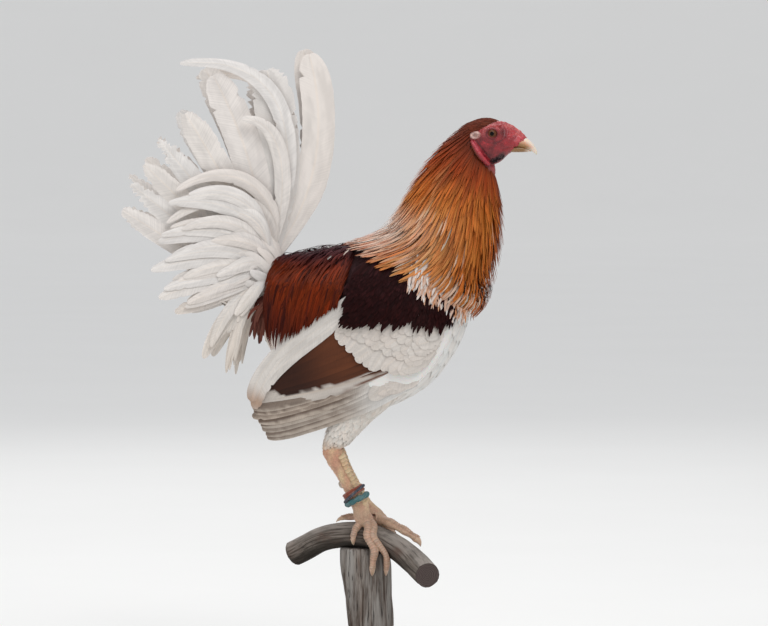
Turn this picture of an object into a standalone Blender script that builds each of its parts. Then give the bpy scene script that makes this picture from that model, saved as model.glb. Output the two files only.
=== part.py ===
"""Red pyle gamecock on a cut length of its perch, as a still, life-size display model.

The bird faces +X with +Z up, and its left side is +Y. The origin is the centre of the
stand's underside. Sizes below are in millimetres, and point() turns them into metres.
"""

import math
import random

import bmesh
import bpy
from mathutils import Vector

MM = 0.001
GAP = 0.3  # between neighbouring pieces

# Stand and perch
BASE_SIZE = (250.0, 190.0, 16.0)
BASE_EDGE = 5.0
ROD_RADIUS = 4.0
ROD_HEIGHT = 32.0
ROD_SPREAD = 22.0
POST_BOTTOM = BASE_SIZE[2] + ROD_HEIGHT + 2 * GAP
POST_TOP = 134.5
POST_RADII = (24.0, 24.5, 25.0, 26.0, 27.0, 26.0)
POST_Y = 8.0
POST_LEAN = 7.0
LIMB_RADIUS = 13.5
LIMB_ROUTE = (
    (-83, 24, 124), (-70, 20, 131), (-49, 12, 142), (-27, 5, 147.5), (-5, 1, 148),
    (16, -3, 144), (38, -14, 135), (56, -27, 123), (71, -43, 112), (85, -60, 102),
)
LIMB_CUT_NORMAL = (0.50, -0.84, -0.22)
LIMB_CUT_AT = (75, -46, 110)

# Body outline, as pairs of (x, z) on the back and under it, and a half width
TORSO_SECTIONS = (
    ((-88, 446), (-110, 398), 17, 0.0),
    ((-72, 449), (-110, 364), 33, 0.05),
    ((-52, 453), (-82, 322), 45, 0.08),
    ((-25, 459), (-38, 290), 53, 0.08),
    ((2, 463), (0, 279), 58, 0.06),
    ((28, 466), (34, 287), 60, 0.04),
    ((42, 470), (74, 308), 58, 0.02),
    ((46, 473), (99, 342), 52, 0.0),
    ((48, 478), (111, 378), 47, 0.0),
    ((50, 480), (114, 406), 43, 0.0),
)
NECK_SECTIONS = (
    ((107, 589), (137, 549.5), 15.5, 0.0),
    ((89, 567), (141, 537), 19, 0.0),
    ((71, 541), (142, 516), 24, 0.0),
    ((57, 516), (140, 494), 30, 0.0),
    ((50, 497), (133, 456), 37, 0.0),
    ((50, 480), (114, 406), 43, 0.0),
    ((20, 467), (122, 392), 59, 0.0),
    ((-8, 461), (115, 380), 62, 0.0),
)
NECK_JOINT = 5
HACKLE_SECTIONS = (
    ((105.1, 591.5), (138.5, 547.5), 17, 0.0),
    ((81, 573), (145, 535), 24, 0.0),
    ((59, 546), (148, 513), 33, 0.0),
    ((41, 517), (150, 494), 43, 0.0),
    ((27, 494), (151, 468), 52, 0.0),
    ((8, 477), (147, 437), 61, 0.0),
    ((-16, 469), (135, 402), 69, 0.0),
    ((-26, 464), (119, 384), 71, 0.0),
)
HEAD_SECTIONS = (
    ((107, 589), (137, 549.5), 15.5, 0.0),
    ((115, 595), (142, 550), 16.4, 0.0),
    ((125, 598.5), (147, 552.5), 16.8, 0.0),
    ((135, 599), (150.5, 555.5), 16.3, 0.0),
    ((145, 597), (153, 558), 14.8, 0.0),
    ((154, 592), (155, 560), 12.6, 0.0),
    ((165, 585.5), (156, 561), 10.3, 0.0),
    ((174, 579), (157, 561.5), 8.4, 0.0),
)
UPPER_BEAK = (
    ((174.3, 578.6), (163.6, 568.4), 7.5, 0.0),
    ((178.7, 575.2), (169.2, 567.7), 6.3, 0.0),
    ((182.4, 571.0), (175.2, 566.4), 4.7, 0.0),
    ((185.2, 566.2), (180.6, 564.4), 2.7, 0.0),
)
UPPER_BEAK_TIP = (186.4, 560.4)
LOWER_BEAK = (
    ((163.4, 567.9), (158.4, 561.6), 7.0, 0.0),
    ((169.0, 567.2), (165.8, 561.2), 5.9, 0.0),
    ((174.9, 565.9), (173.0, 561.9), 4.2, 0.0),
)
LOWER_BEAK_TIP = (180.6, 563.4)
EYE = (138.0, 11.0, 583.0)
EYE_RADIUS = 6.3

# Legs: path points of the right leg (y is mirrored for the left), with fore and side radii
HOCKS = {-1: (-33.0, 28.0, 243.0), 1: (-41.0, 28.0, 243.0)}
HOCK_NORMAL = (0.12, 0.0, -0.99)
THIGH_RISE = (0.515, 0.04, 0.857)
THIGH_SECTIONS = ((112, 31, 18), (84, 33, 20), (52, 23, 17), (30, 17.5, 14), (14, 14, 11.5))
HOCK_RADII = (12.0, 10.0)
SHANK_SHARES = (0.16, 0.4, 0.62, 0.82)
SHANK_RADII = ((10.5, 9), (8.2, 7.4), (7.8, 7.0), (8.0, 7.3))
ANKLE_RADII = (9.0, 8.0)
ANKLES = {-1: (-3.0, 14.5, 181.0), 1: (-5.0, 14.5, 181.0)}
ANKLE_NORMAL = (0.48, 0.0, -0.87)
BAND_RADIUS = 9.4
FOOT_HUBS = {-1: (2.0, 27.0), 1: (10.0, 27.0)}

# Folded wing: a sheet that follows the side of the body
WING_HALF_SPAN = 73.0
WING_MIDDLE_Z = 352.0
WING_ROUNDING = 150.0
WING_FRONT_X = 50.0
WING_REAR_X = -125.0
WING_REAR_TAPER = 0.22
WING_FRONT_TUCK = 34.0

# Tail
TAIL_CORE = (
    ((-88, 446), (-110, 398), 17, 0.0),
    ((-94, 464), (-124, 392), 21, 0.0),
    ((-108, 480), (-146, 395), 22, 0.0),
    ((-126, 484), (-166, 410), 18, 0.0),
    ((-144, 480), (-176, 430), 11, 0.0),
)
TAIL_CORE_END = (-168, 458)


def paint(name, colour, roughness):
    """A plain material of one colour."""
    material = bpy.data.materials.new(name)
    material.use_nodes = True
    shader = material.node_tree.nodes["Principled BSDF"]
    shader.inputs["Base Color"].default_value = (*colour, 1.0)
    shader.inputs["Roughness"].default_value = roughness
    return material


def point(x, y, z):
    """A place given in millimetres, in Blender's metres."""
    return Vector((x, y, z)) * MM


def smooth(t):
    """Rises evenly from 0 to 1 with soft ends."""
    t = min(1.0, max(0.0, t))
    return t * t * (3 - 2 * t)


def curve_value(values, s):
    """Catmull-Rom value at s, where whole numbers of s fall on the given values."""
    last = len(values) - 1
    s = min(max(s, 0.0), float(last))
    i = min(int(s), last - 1)
    t = s - i
    a, b, c, d = (values[min(max(i + k, 0), last)] for k in (-1, 0, 1, 2))
    return 0.5 * (2 * b + (c - a) * t + (2 * a - 5 * b + 4 * c - d) * t * t
                  + (3 * b - a - 3 * c + d) * t ** 3)


def path_point(points, s):
    """Catmull-Rom point at s along a list of points in millimetres."""
    return Vector([curve_value([p[k] for p in points], s) for k in range(3)])


class Form:
    """A soft body form, seen as rings between a line on its back and one under it."""

    def __init__(self, sections, squareness=2.25):
        self.sections = sections
        self.power = 2.0 / squareness

    def ring_frame(self, s, grow=0.0):
        top = Vector([curve_value([r[0][k] for r in self.sections], s) for k in (0, 1)])
        low = Vector([curve_value([r[1][k] for r in self.sections], s) for k in (0, 1)])
        half = curve_value([r[2] for r in self.sections], s) + grow
        belly = curve_value([r[3] for r in self.sections], s)
        reach = (top - low) / 2
        return (top + low) / 2, reach + reach.normalized() * grow, half, belly

    def at(self, s, angle, grow=0.0):
        """The surface at s, where angle is 0 on the back and grows towards the right side."""
        middle, reach, half, belly = self.ring_frame(s, grow)
        c, d = math.cos(angle), math.sin(angle)
        up = math.copysign(abs(c) ** self.power, c)
        side = math.copysign(abs(d) ** self.power, d) * (1 - belly * up)
        return Vector((middle.x + reach.x * up, -half * side, middle.y + reach.y * up))

    def normal(self, s, angle):
        """Points away from the form at s and angle."""
        step = 0.04
        along = self.at(s + step, angle) - self.at(s - step, angle)
        around = self.at(s, angle + step) - self.at(s, angle - step)
        out = along.cross(around)
        middle, _, _, _ = self.ring_frame(s)
        away = self.at(s, angle) - Vector((middle.x, 0, middle.y))
        return out.normalized() * math.copysign(1, out.dot(away))

    def rings(self, stops, count, grow=0.0):
        return [[self.at(s, 2 * math.pi * k / count, grow) for k in range(count)] for s in stops]


def steps(first, last, number):
    return [first + (last - first) * k / number for k in range(number + 1)]


def add_object(name, bm, material=None):
    """Turns a bmesh built in millimetres into an object, with its faces pointing outwards."""
    bmesh.ops.scale(bm, vec=(MM, MM, MM), verts=bm.verts)
    bmesh.ops.recalc_face_normals(bm, faces=bm.faces)
    mesh = bpy.data.meshes.new(name)
    bm.to_mesh(mesh)
    bm.free()
    obj = bpy.data.objects.new(name, mesh)
    bpy.context.scene.collection.objects.link(obj)
    if material:
        mesh.materials.append(material)
    return obj


def loft(name, rings, material=None, tip=None):
    """A closed surface through rings of equally many points. A tip closes the far end in a point."""
    bm = bmesh.new()
    rows = [[bm.verts.new(p) for p in ring] for ring in rings]
    count = len(rows[0])
    for near, far in zip(rows, rows[1:]):
        for k in range(count):
            n = (k + 1) % count
            bm.faces.new((near[k], near[n], far[n], far[k]))
    bm.faces.new(rows[0])
    if tip is None:
        bm.faces.new(rows[-1])
    else:
        apex = bm.verts.new(tip)
        for k in range(count):
            bm.faces.new((rows[-1][k], rows[-1][(k + 1) % count], apex))
    return add_object(name, bm, material)


def vane(stations, thick, camber=0.0):
    """A feather's vane: (centre, outward normal, half width) at each station, ending in a point.

    Its section is a lens with a ridge on the shaft, and both faces are split alike.
    """
    bm = bmesh.new()
    rows = []
    for i, (centre, out, half) in enumerate(stations[:-1]):
        before = stations[max(i - 1, 0)][0]
        along = (stations[i + 1][0] - before).normalized()
        side = along.cross(out).normalized()
        out = side.cross(along).normalized()
        sag = out * camber * half
        half_thick = thick / 2
        rows.append([bm.verts.new(p) for p in (
            centre - side * half - sag,
            centre + out * half_thick,
            centre + side * half - sag,
            centre - out * half_thick,
        )])
    tip = bm.verts.new(stations[-1][0])
    for (left, top, right, low), (left2, top2, right2, low2) in zip(rows, rows[1:]):
        for edge, edge2, mid, mid2 in (
            (left, left2, top, top2), (left, left2, low, low2),
            (right, right2, top, top2), (right, right2, low, low2),
        ):
            bm.faces.new((edge, mid, mid2))
            bm.faces.new((edge, mid2, edge2))
    left, top, right, low = rows[0]
    bm.faces.new((left, low, top))
    bm.faces.new((right, top, low))
    left, top, right, low = rows[-1]
    for a, b in ((left, top), (top, right), (right, low), (low, left)):
        bm.faces.new((a, b, tip))
    return add_object("vane", bm)


def feather_profile(t, tip_fullness):
    """Half width along a feather, as a share of its widest: a narrow root, then a full blade."""
    opening = 0.4 + 0.6 * smooth(t / 0.4)
    closing = max(0.0, 1 - max(0.0, (t - tip_fullness) / (1 - tip_fullness)) ** 2) ** 0.5
    return opening * closing


def feather_stops(number):
    """Stations along a feather, closer together towards its rounded tip, which comes last."""
    return [0.96 * (1 - (1 - k / (number - 1)) ** 1.5) for k in range(number)] + [1.0]


def mesh_of(obj):
    """Replaces an object's modifiers by the mesh that they give."""
    graph = bpy.context.evaluated_depsgraph_get()
    mesh = bpy.data.meshes.new_from_object(obj.evaluated_get(graph))
    materials = list(obj.data.materials)
    obj.modifiers.clear()
    obj.data = mesh
    mesh.materials.clear()
    for material in materials:
        mesh.materials.append(material)
    return obj


def largest_surface(obj):
    """Keeps the closed surface of the greatest volume and drops loose scraps and hollows."""
    bm = bmesh.new()
    bm.from_mesh(obj.data)
    bmesh.ops.triangulate(bm, faces=bm.faces)
    left = set(bm.faces)
    islands = []
    while left:
        stack = [left.pop()]
        island = []
        while stack:
            face = stack.pop()
            island.append(face)
            for edge in face.edges:
                for other in edge.link_faces:
                    if other in left:
                        left.remove(other)
                        stack.append(other)
        volume = sum(f.verts[0].co.dot(f.verts[1].co.cross(f.verts[2].co)) for f in island)
        islands.append((volume, island))
    islands.sort(key=lambda pair: pair[0])
    for _, island in islands[:-1]:
        bmesh.ops.delete(bm, geom=island, context="FACES")
    bm.to_mesh(obj.data)
    bm.free()
    return obj


def boolean(obj, operation, others):
    """Joins or cuts with all the others at once, and removes them."""
    group = bpy.data.collections.new("pieces")
    for other in others:
        group.objects.link(other)
    modifier = obj.modifiers.new(operation.title(), "BOOLEAN")
    modifier.operation = operation
    modifier.operand_type = "COLLECTION"
    modifier.collection = group
    modifier.solver = "MANIFOLD"
    bpy.context.view_layer.update()
    mesh_of(obj)
    for other in others:
        bpy.data.objects.remove(other)
    bpy.data.collections.remove(group)
    return obj


def fuse(core, pieces):
    return largest_surface(boolean(core, "UNION", pieces))


def cut(obj, cutters):
    for cutter in cutters:
        boolean(obj, "DIFFERENCE", [cutter])
    return largest_surface(obj)


def ellipsoid(name, centre, radii, segments=12, rings=8, turn=0.0, material=None):
    """A rounded lump, turned about Y by an angle in degrees."""
    bm = bmesh.new()
    bmesh.ops.create_uvsphere(bm, u_segments=segments, v_segments=rings, radius=1.0)
    bmesh.ops.scale(bm, vec=radii, verts=bm.verts)
    c, s = math.cos(math.radians(turn)), math.sin(math.radians(turn))
    for v in bm.verts:
        x, z = v.co.x, v.co.z
        v.co = Vector((x * c + z * s, v.co.y, z * c - x * s)) + Vector(centre)
    return add_object(name, bm, material)


def plane_ring(centre, normal, fore, side_radius, count, start=0.0):
    """An oval ring in the plane of the normal, with its fore radius nearest to +X."""
    normal = Vector(normal).normalized()
    ahead = Vector((1, 0, 0)) - normal * normal.x
    ahead.normalize()
    across = normal.cross(ahead)
    return [
        Vector(centre) + ahead * fore * math.cos(a) + across * side_radius * math.sin(a)
        for a in (start + 2 * math.pi * k / count for k in range(count))
    ]


def tube_rings(path, radii, count, up_hint, flat=1.0):
    """Oval rings square to a path. flat squeezes them towards the hint's direction."""
    rings = []
    for i, centre in enumerate(path):
        along = (path[min(i + 1, len(path) - 1)] - path[max(i - 1, 0)]).normalized()
        hint = Vector(up_hint[i] if isinstance(up_hint, list) else up_hint)
        out = (hint - along * hint.dot(along)).normalized()
        side = along.cross(out)
        rings.append([
            centre + out * radii[i] * flat * math.cos(a) + side * radii[i] * math.sin(a)
            for a in (2 * math.pi * k / count for k in range(count))
        ])
    return rings


# Materials

WHITE_PLUMAGE = paint("white_plumage", (0.83, 0.79, 0.74), 0.75)
RED_PLUMAGE = paint("red_plumage", (0.56, 0.20, 0.05), 0.65)
DARK_PLUMAGE = paint("dark_plumage", (0.10, 0.02, 0.02), 0.6)
FACE_SKIN = paint("face_skin", (0.55, 0.05, 0.08), 0.5)
LEG_SCALE = paint("leg_scale", (0.80, 0.52, 0.33), 0.55)
HORN = paint("horn", (0.86, 0.72, 0.50), 0.35)
EYE_AMBER = paint("eye_amber", (0.30, 0.14, 0.05), 0.1)
TEAL_BAND = paint("teal_band", (0.05, 0.33, 0.33), 0.5)
NAVY_BAND = paint("navy_band", (0.03, 0.04, 0.12), 0.6)
CORD_BAND = paint("cord_band", (0.40, 0.09, 0.03), 0.7)
PERCH_WOOD = paint("perch_wood", (0.33, 0.25, 0.20), 0.85)
STAND_WOOD = paint("stand_wood", (0.16, 0.09, 0.05), 0.45)
STAND_STEEL = paint("stand_steel", (0.55, 0.55, 0.56), 0.3)
STAND_STEEL.node_tree.nodes["Principled BSDF"].inputs["Metallic"].default_value = 1.0

TORSO = Form(TORSO_SECTIONS)
NECK = Form(NECK_SECTIONS, 2.1)
HACKLE = Form(HACKLE_SECTIONS, 2.1)
HEAD = Form(HEAD_SECTIONS, 2.15)


# Stand: a flat board and two short rods

def build_stand():
    bpy.ops.mesh.primitive_cube_add(size=1, location=(0, 0, BASE_SIZE[2] / 2 * MM))
    base = bpy.context.object
    base.name = "stand_base"
    base.scale = [side * MM for side in BASE_SIZE]
    bpy.ops.object.transform_apply(location=True, rotation=False, scale=True)
    bevel = base.modifiers.new("Edge", "BEVEL")
    bevel.width = BASE_EDGE * MM
    bevel.segments = 2
    bevel.limit_method = "ANGLE"
    bpy.context.view_layer.update()
    mesh_of(base)
    base.data.materials.append(STAND_WOOD)
    for name, side in (("stand_rod_left", 1), ("stand_rod_right", -1)):
        bpy.ops.mesh.primitive_cylinder_add(
            vertices=16, radius=ROD_RADIUS * MM, depth=ROD_HEIGHT * MM,
            location=point(0, POST_Y + side * ROD_SPREAD / 2, BASE_SIZE[2] + GAP + ROD_HEIGHT / 2),
        )
        rod = bpy.context.object
        rod.name = name
        rod.data.materials.append(STAND_STEEL)


# Perch: a bowed limb on a cut length of post

def limb_frame(s):
    """Centre, direction, up and towards-the-viewer of the limb at s along its route."""
    step = 0.05
    centre = path_point(LIMB_ROUTE, s)
    along = (path_point(LIMB_ROUTE, s + step) - path_point(LIMB_ROUTE, s - step)).normalized()
    up = (Vector((0, 0, 1)) - along * along.z).normalized()
    return centre, along, up, up.cross(along) * -1


def limb_thickness(s, angle):
    """The limb's radius, a little uneven as cut wood is."""
    return LIMB_RADIUS * (1 + 0.02 * math.sin(2.1 * s + 2 * angle) + 0.015 * math.sin(5 * angle - s))


def limb_rings(stops, count, grow=0.0):
    rings = []
    for s in stops:
        centre, _, up, near = limb_frame(s)
        rings.append([
            centre + (up * math.cos(a) + near * math.sin(a)) * (limb_thickness(s, a) + grow)
            for a in (2 * math.pi * k / count for k in range(count))
        ])
    return rings


LIMB_STOPS = steps(0.15, 9.0, 13)


def limb_solid(name, grow=0.0, material=None):
    rings = limb_rings(LIMB_STOPS, 12, grow)
    centre, along, up, near = limb_frame(0.0)
    small = [
        centre - along * 2 + (up * math.cos(a) + near * math.sin(a)) * (LIMB_RADIUS * 0.8 + grow)
        for a in (2 * math.pi * k / 12 for k in range(12))
    ]
    return loft(name, [small, *rings], material)


def build_limb():
    limb = limb_solid("perch_limb", material=PERCH_WOOD)
    bm = bmesh.new()
    bm.from_mesh(limb.data)
    bmesh.ops.bisect_plane(
        bm, geom=bm.verts[:] + bm.edges[:] + bm.faces[:], plane_co=point(*LIMB_CUT_AT),
        plane_no=LIMB_CUT_NORMAL, clear_outer=True,
    )
    bmesh.ops.holes_fill(bm, edges=bm.edges, sides=0)
    bmesh.ops.recalc_face_normals(bm, faces=bm.faces)
    bm.to_mesh(limb.data)
    bm.free()
    return limb


def build_post():
    rings = []
    count = 18
    for i, radius in enumerate(POST_RADII):
        t = i / (len(POST_RADII) - 1)
        height = POST_BOTTOM + (POST_TOP - 2 - POST_BOTTOM) * t if i < 5 else POST_TOP
        lean = POST_LEAN * (0.5 - t)
        rings.append([
            Vector((
                lean + radius * (1 + 0.05 * math.sin(3 * a + 1) + 0.03 * math.sin(7 * a + 2 * t)) * math.cos(a),
                POST_Y + radius * (1 + 0.04 * math.sin(2 * a) + 0.02 * math.sin(5 * a)) * math.sin(a),
                height,
            ))
            for a in (2 * math.pi * k / count for k in range(count))
        ])
    post = loft("perch_post", rings, PERCH_WOOD)
    return cut(post, [limb_solid("limb_room", GAP)])


# Legs and feet

def hock_centre(side):
    x, y, z = HOCKS[side]
    return Vector((x, side * y, z))


def leg_axis(side):
    """Centres and radii of the shank from the hock down to the ankle."""
    ankle = Vector((ANKLES[side][0], side * ANKLES[side][1], ANKLES[side][2]))
    hock = hock_centre(side)
    path = [hock.lerp(ankle, share) for share in SHANK_SHARES]
    return path, ankle


def shank_rings(side, grow=0.0):
    path, ankle = leg_axis(side)
    hock = hock_centre(side)
    drop = Vector(HOCK_NORMAL).normalized()
    lift = Vector(ANKLE_NORMAL).normalized()
    count = 12
    rings = [plane_ring(hock + drop * GAP, HOCK_NORMAL, HOCK_RADII[0] + grow, HOCK_RADII[1] + grow, count)]
    for centre, (fore, across) in zip(path, SHANK_RADII):
        rings.append(plane_ring(centre, ANKLE_NORMAL, fore + grow, across + grow, count))
    rings.append(plane_ring(ankle - lift * GAP, ANKLE_NORMAL, ANKLE_RADII[0] + grow, ANKLE_RADII[1] + grow, count))
    return rings


def thigh_rings(side, grow=0.0):
    hock = hock_centre(side)
    rise = Vector((THIGH_RISE[0], side * THIGH_RISE[1], THIGH_RISE[2])).normalized()
    rings = []
    for i, (height, fore, across) in enumerate(THIGH_SECTIONS):
        centre = hock + rise * (height + (grow if i == 0 else 0))
        rings.append(plane_ring(centre, -rise, fore + grow, across + grow, 12))
    rings.append(plane_ring(hock, HOCK_NORMAL, HOCK_RADII[0] + grow, HOCK_RADII[1] + grow, 12))
    return rings


def thigh_solid(name, side, grow=0.0, material=None):
    return loft(name, thigh_rings(side, grow), material)


def on_limb(along, around, away):
    """A place off the limb's surface: along it in route steps, around it in degrees from its top."""
    centre, _, up, near = limb_frame(along)
    a = math.radians(around)
    out = up * math.cos(a) + near * math.sin(a)
    return centre + out * (LIMB_RADIUS * 1.03 + away), out


# Toe routes on the right foot: (along the limb, degrees round it) and then free points where it hangs
TOE_ROUTES = {
    -1: {
        "hallux": (4.4, ((4.05, 22), (3.75, 4), (3.45, 2), (3.2, 12)), ()),
        "outer": (4.8, ((4.15, 34), (4.0, 62), (3.92, 84), (3.9, 98)), ()),
        "middle": (5.8, ((4.3, 30), (4.55, 58), (4.72, 84)), ((13.5, -26.0, 134), (12.5, -25.8, 124), (11.5, -25.2, 114))),
        "inner": (5.0, ((4.4, 22), (4.8, 44), (5.08, 76)), ((25, -24.5, 131), (26.5, -20.5, 121), (25.5, -18.0, 112))),
    },
    1: {
        "hallux": (4.4, ((4.4, -22), (4.15, -44), (3.95, -70), (3.9, -84)), ()),
        "outer": (4.8, ((4.5, -36), (4.55, -62), (4.5, -86)), ()),
        "middle": (5.8, ((4.8, -16), (5.3, -6), (5.9, -12), (6.35, -32)), ()),
        "inner": (5.0, ((4.75, -34), (5.05, -62), (5.3, -92), (5.4, -120)), ()),
    },
}
CLAW_LENGTHS = {"hallux": 9.0, "outer": 9.0, "middle": 10.5, "inner": 9.5}


def toe_path(side, toe):
    """Centres, outward directions and radii from the foot's pad to the claw."""
    radius, wraps, hangs = TOE_ROUTES[side][toe]
    spots = [on_limb(along, around, radius + GAP + 0.15) for along, around in wraps]
    spots += [(Vector(p), Vector((0, side, 0))) for p in hangs]
    centres = [p for p, _ in spots]
    outs = [o for _, o in spots]
    number = 5
    path, hints, radii = [], [], []
    for k in range(number + 1):
        s = (len(centres) - 1) * k / number
        path.append(path_point(centres, s))
        hints.append(path_point(outs, s))
        swell = 0.08 * math.cos(math.pi * k)
        radii.append(radius * (1 - 0.36 * k / number + swell))
    return path, hints, radii


def build_foot(side, word):
    hub_along, hub_around = FOOT_HUBS[side]
    _, ankle = leg_axis(side)
    drop = Vector(ANKLE_NORMAL).normalized()
    low, out = on_limb(4.05 + hub_along * 0.045, -side * hub_around, 8.2)
    heel = ankle.lerp(low, 0.5)
    rings = [
        plane_ring(ankle, ANKLE_NORMAL, ANKLE_RADII[0], ANKLE_RADII[1], 12),
        plane_ring(heel, (ankle - low).normalized() * -1, 9.6, 8.6, 12),
        plane_ring(low, out * -1, 10.5, 9.0, 12),
        plane_ring(low - out * 5.0, out * -1, 7.5, 6.5, 12),
    ]
    hub = loft(f"foot_{word}", rings, LEG_SCALE)
    toes = []
    for toe in TOE_ROUTES[side]:
        path, hints, radii = toe_path(side, toe)
        inside = low + out * 1.5
        rings = tube_rings([inside, *path], [radii[0] * 0.9, *radii], 7, [out, *hints])
        toes.append(loft("toe", rings))
        end, ahead = path[-1], (path[-1] - path[-2]).normalized()
        build_claw(f"claw_{toe}_{word}", end + ahead * GAP, ahead, hints[-1], radii[-1], CLAW_LENGTHS[toe])
    fuse(hub, toes)
    return cut(hub, [limb_solid("limb_room", GAP)])


def build_claw(name, start, ahead, away, radius, length):
    """A claw that narrows and hooks towards the perch."""
    rings = []
    for t, share in ((0.0, 0.92), (0.35, 0.72), (0.7, 0.42)):
        bend = -away * (length * 0.42 * t * t)
        centre = start + ahead * length * t * (1 - 0.15 * t) + bend
        along = ahead - away * 0.84 * t
        side = along.cross(away).normalized()
        out = side.cross(along).normalized()
        rings.append([
            centre + (out * math.cos(a) + side * 0.85 * math.sin(a)) * radius * share
            for a in (2 * math.pi * k / 6 for k in range(6))
        ])
    tip = start + ahead * length * 0.85 - away * length * 0.42
    return loft(name, rings, HORN, tip=tip)


def build_spur(side, word):
    """A trimmed spur on the inner side of the shank, towards the rear."""
    path, _ = leg_axis(side)
    start = path[2].lerp(path[3], 0.1)
    way = Vector((-0.75, -side * 0.65, -0.05)).normalized()
    rings = [
        plane_ring(start + way * reach, way, radius, radius, 10)
        for reach, radius in ((2.0, 4.2), (9.0, 3.8), (14.0, 2.9), (15.5, 1.8))
    ]
    spur = loft(f"spur_{word}", rings, HORN)
    return cut(spur, [loft("shank_room", shank_rings(side, GAP))])


def build_band(name, share, tilt, minor, material):
    """A ring round the right shank, tilted by some degrees as it hangs above the foot."""
    path, ankle = leg_axis(-1)
    centre = path[-1].lerp(ankle, share)
    bpy.ops.mesh.primitive_torus_add(
        major_segments=14, minor_segments=5, major_radius=(BAND_RADIUS + minor) * MM, minor_radius=minor * MM,
        location=centre * MM,
    )
    band = bpy.context.object
    band.name = name
    axis = Vector(ANKLE_NORMAL).normalized()
    ahead = (Vector((1, 0, 0)) - axis * axis.x).normalized()
    leaned = (axis + ahead * math.tan(math.radians(tilt))).normalized()
    band.rotation_euler = leaned.to_track_quat("Z", "Y").to_euler()
    band.data.materials.append(material)
    return band


def build_legs():
    for side, word in ((-1, "right"), (1, "left")):
        thigh = thigh_solid(f"thigh_{word}", side, 0.0, WHITE_PLUMAGE)
        cut(thigh, [torso_solid("torso_room", GAP)])
        loft(f"shank_{word}", shank_rings(side), LEG_SCALE)
        build_foot(side, word)
        build_spur(side, word)
    build_band("band_navy", -0.62, -4, 1.4, NAVY_BAND)
    build_band("band_cord", -0.08, 4, 1.8, CORD_BAND)
    build_band("band_teal", 0.62, 0, 2.4, TEAL_BAND)


# Body with its saddle hackles

def torso_solid(name, grow=0.0, material=None):
    return loft(name, TORSO.rings(steps(0, 9, 13), 18, grow), material)


def lock_on(form, start, end, width, lift, thick=1.3, number=3, envelope=None, bend=0.0):
    """A pointed hackle that leaves the form at its start and lies back over it to its end."""
    stations = []
    for k in range(number + 1):
        t = k / number
        s = start[0] + (end[0] - start[0]) * t
        angle = start[1] + (end[1] - start[1]) * t + bend * math.sin(math.pi * t)
        if envelope is None:
            centre = form.at(s, angle, -2.5 + (lift + 2.5) * smooth(0.15 + 0.85 * t))
        else:
            share = -0.12 + (lift + 0.12) * t ** 0.85
            centre = form.at(s, angle).lerp(envelope.at(s, angle), share)
        half = width / 2 * (0.55 + 0.45 * math.sin(math.pi * min(1, t * 1.15))) if k < number else 0
        stations.append((centre, form.normal(s, angle), half * (1 - 0.45 * t ** 3)))
    return vane(stations, thick, 0.12)


def saddle_locks():
    """Rows of long hackles that fall from the back over the flanks."""
    rng = random.Random(4)
    locks = []
    rows = ((4.9, 2.6), (3.9, 2.6), (2.9, 2.3), (1.95, 1.65))
    for row, (root, reach) in enumerate(rows):
        for side in (-1, 1):
            for k in range(4):
                angle = side * (0.12 + 0.36 * k + 0.10 * (row % 2))
                fall = side * (0.42 + 0.12 * k)
                end = (max(0.12, root - reach + rng.uniform(-0.15, 0.15)), angle + fall)
                lift = 7.5 - 0.8 * row + rng.uniform(-0.5, 0.5)
                locks.append(lock_on(TORSO, (root, angle), end, 25, lift, bend=side * 0.05))
    return locks


def build_torso():
    """The body, with its saddle hackles cut clear of their neighbours before they are fused."""
    cutters = (hackle_hull, lambda: wing_hull(-1), lambda: wing_hull(1), tail_hull)
    locks = []
    for lock in saddle_locks():
        boolean(lock, "DIFFERENCE", [make() for make in cutters])
        if len(lock.data.polygons) > 3:
            locks.append(largest_surface(lock))
        else:
            bpy.data.objects.remove(lock)
    return fuse(torso_solid("torso", 0.0, WHITE_PLUMAGE), locks)


def hackle_hull(first=4.0, last=7.0, grow=1.5):
    """The space that the neck's hackles fill, for cutting their neighbours clear."""
    rings = HACKLE.rings(steps(first, last, 6), 16, grow)
    return loft("hackle_room", [back_off(rings, GAP), *rings[1:]])


# Neck with its hackles

def build_neck():
    rings = NECK.rings(steps(0, NECK_JOINT, 8), 14)
    axis_top = (Vector(NECK_SECTIONS[5][0]) - Vector(NECK_SECTIONS[5][1])).normalized()
    lift = Vector((-axis_top.y, 0, axis_top.x)) * -GAP
    rings[-1] = [p + lift for p in rings[-1]]
    neck = loft("neck", rings, RED_PLUMAGE)
    rng = random.Random(11)
    locks = []
    rows = (
        (0.45, 1.8, 15, 7), (1.0, 2.2, 18, 7), (1.9, 2.5, 22, 8), (2.8, 2.8, 26, 9),
        (3.6, 2.9, 29, 10), (4.3, 2.62, 33, 10),
    )
    for row, (root, reach, width, number) in enumerate(rows):
        for k in range(number):
            angle = 2 * math.pi * (k + 0.5 * (row % 2)) / number
            end = min(6.95, root + reach + rng.uniform(-0.22, 0.12))
            lift = 1.0 - rng.uniform(0.0, 0.12)
            locks.append(lock_on(
                NECK, (root, angle), (end, angle + rng.uniform(-0.05, 0.05)), width, lift,
                thick=1.2, envelope=HACKLE,
            ))
    return fuse(neck, locks)


# Head, beak and eyes

def head_lump(name, x, y, z, radii, turn=0.0, side=1, segments=8, rings=5):
    return ellipsoid(name, (x, side * y, z), radii, segments, rings, turn)


def ridge(points, radii, flat=1.0):
    """A fold of skin along a few points."""
    path = [Vector(p) for p in points]
    return loft("ridge", tube_rings(path, radii, 6, (0, 1, 0.2), flat))


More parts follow.
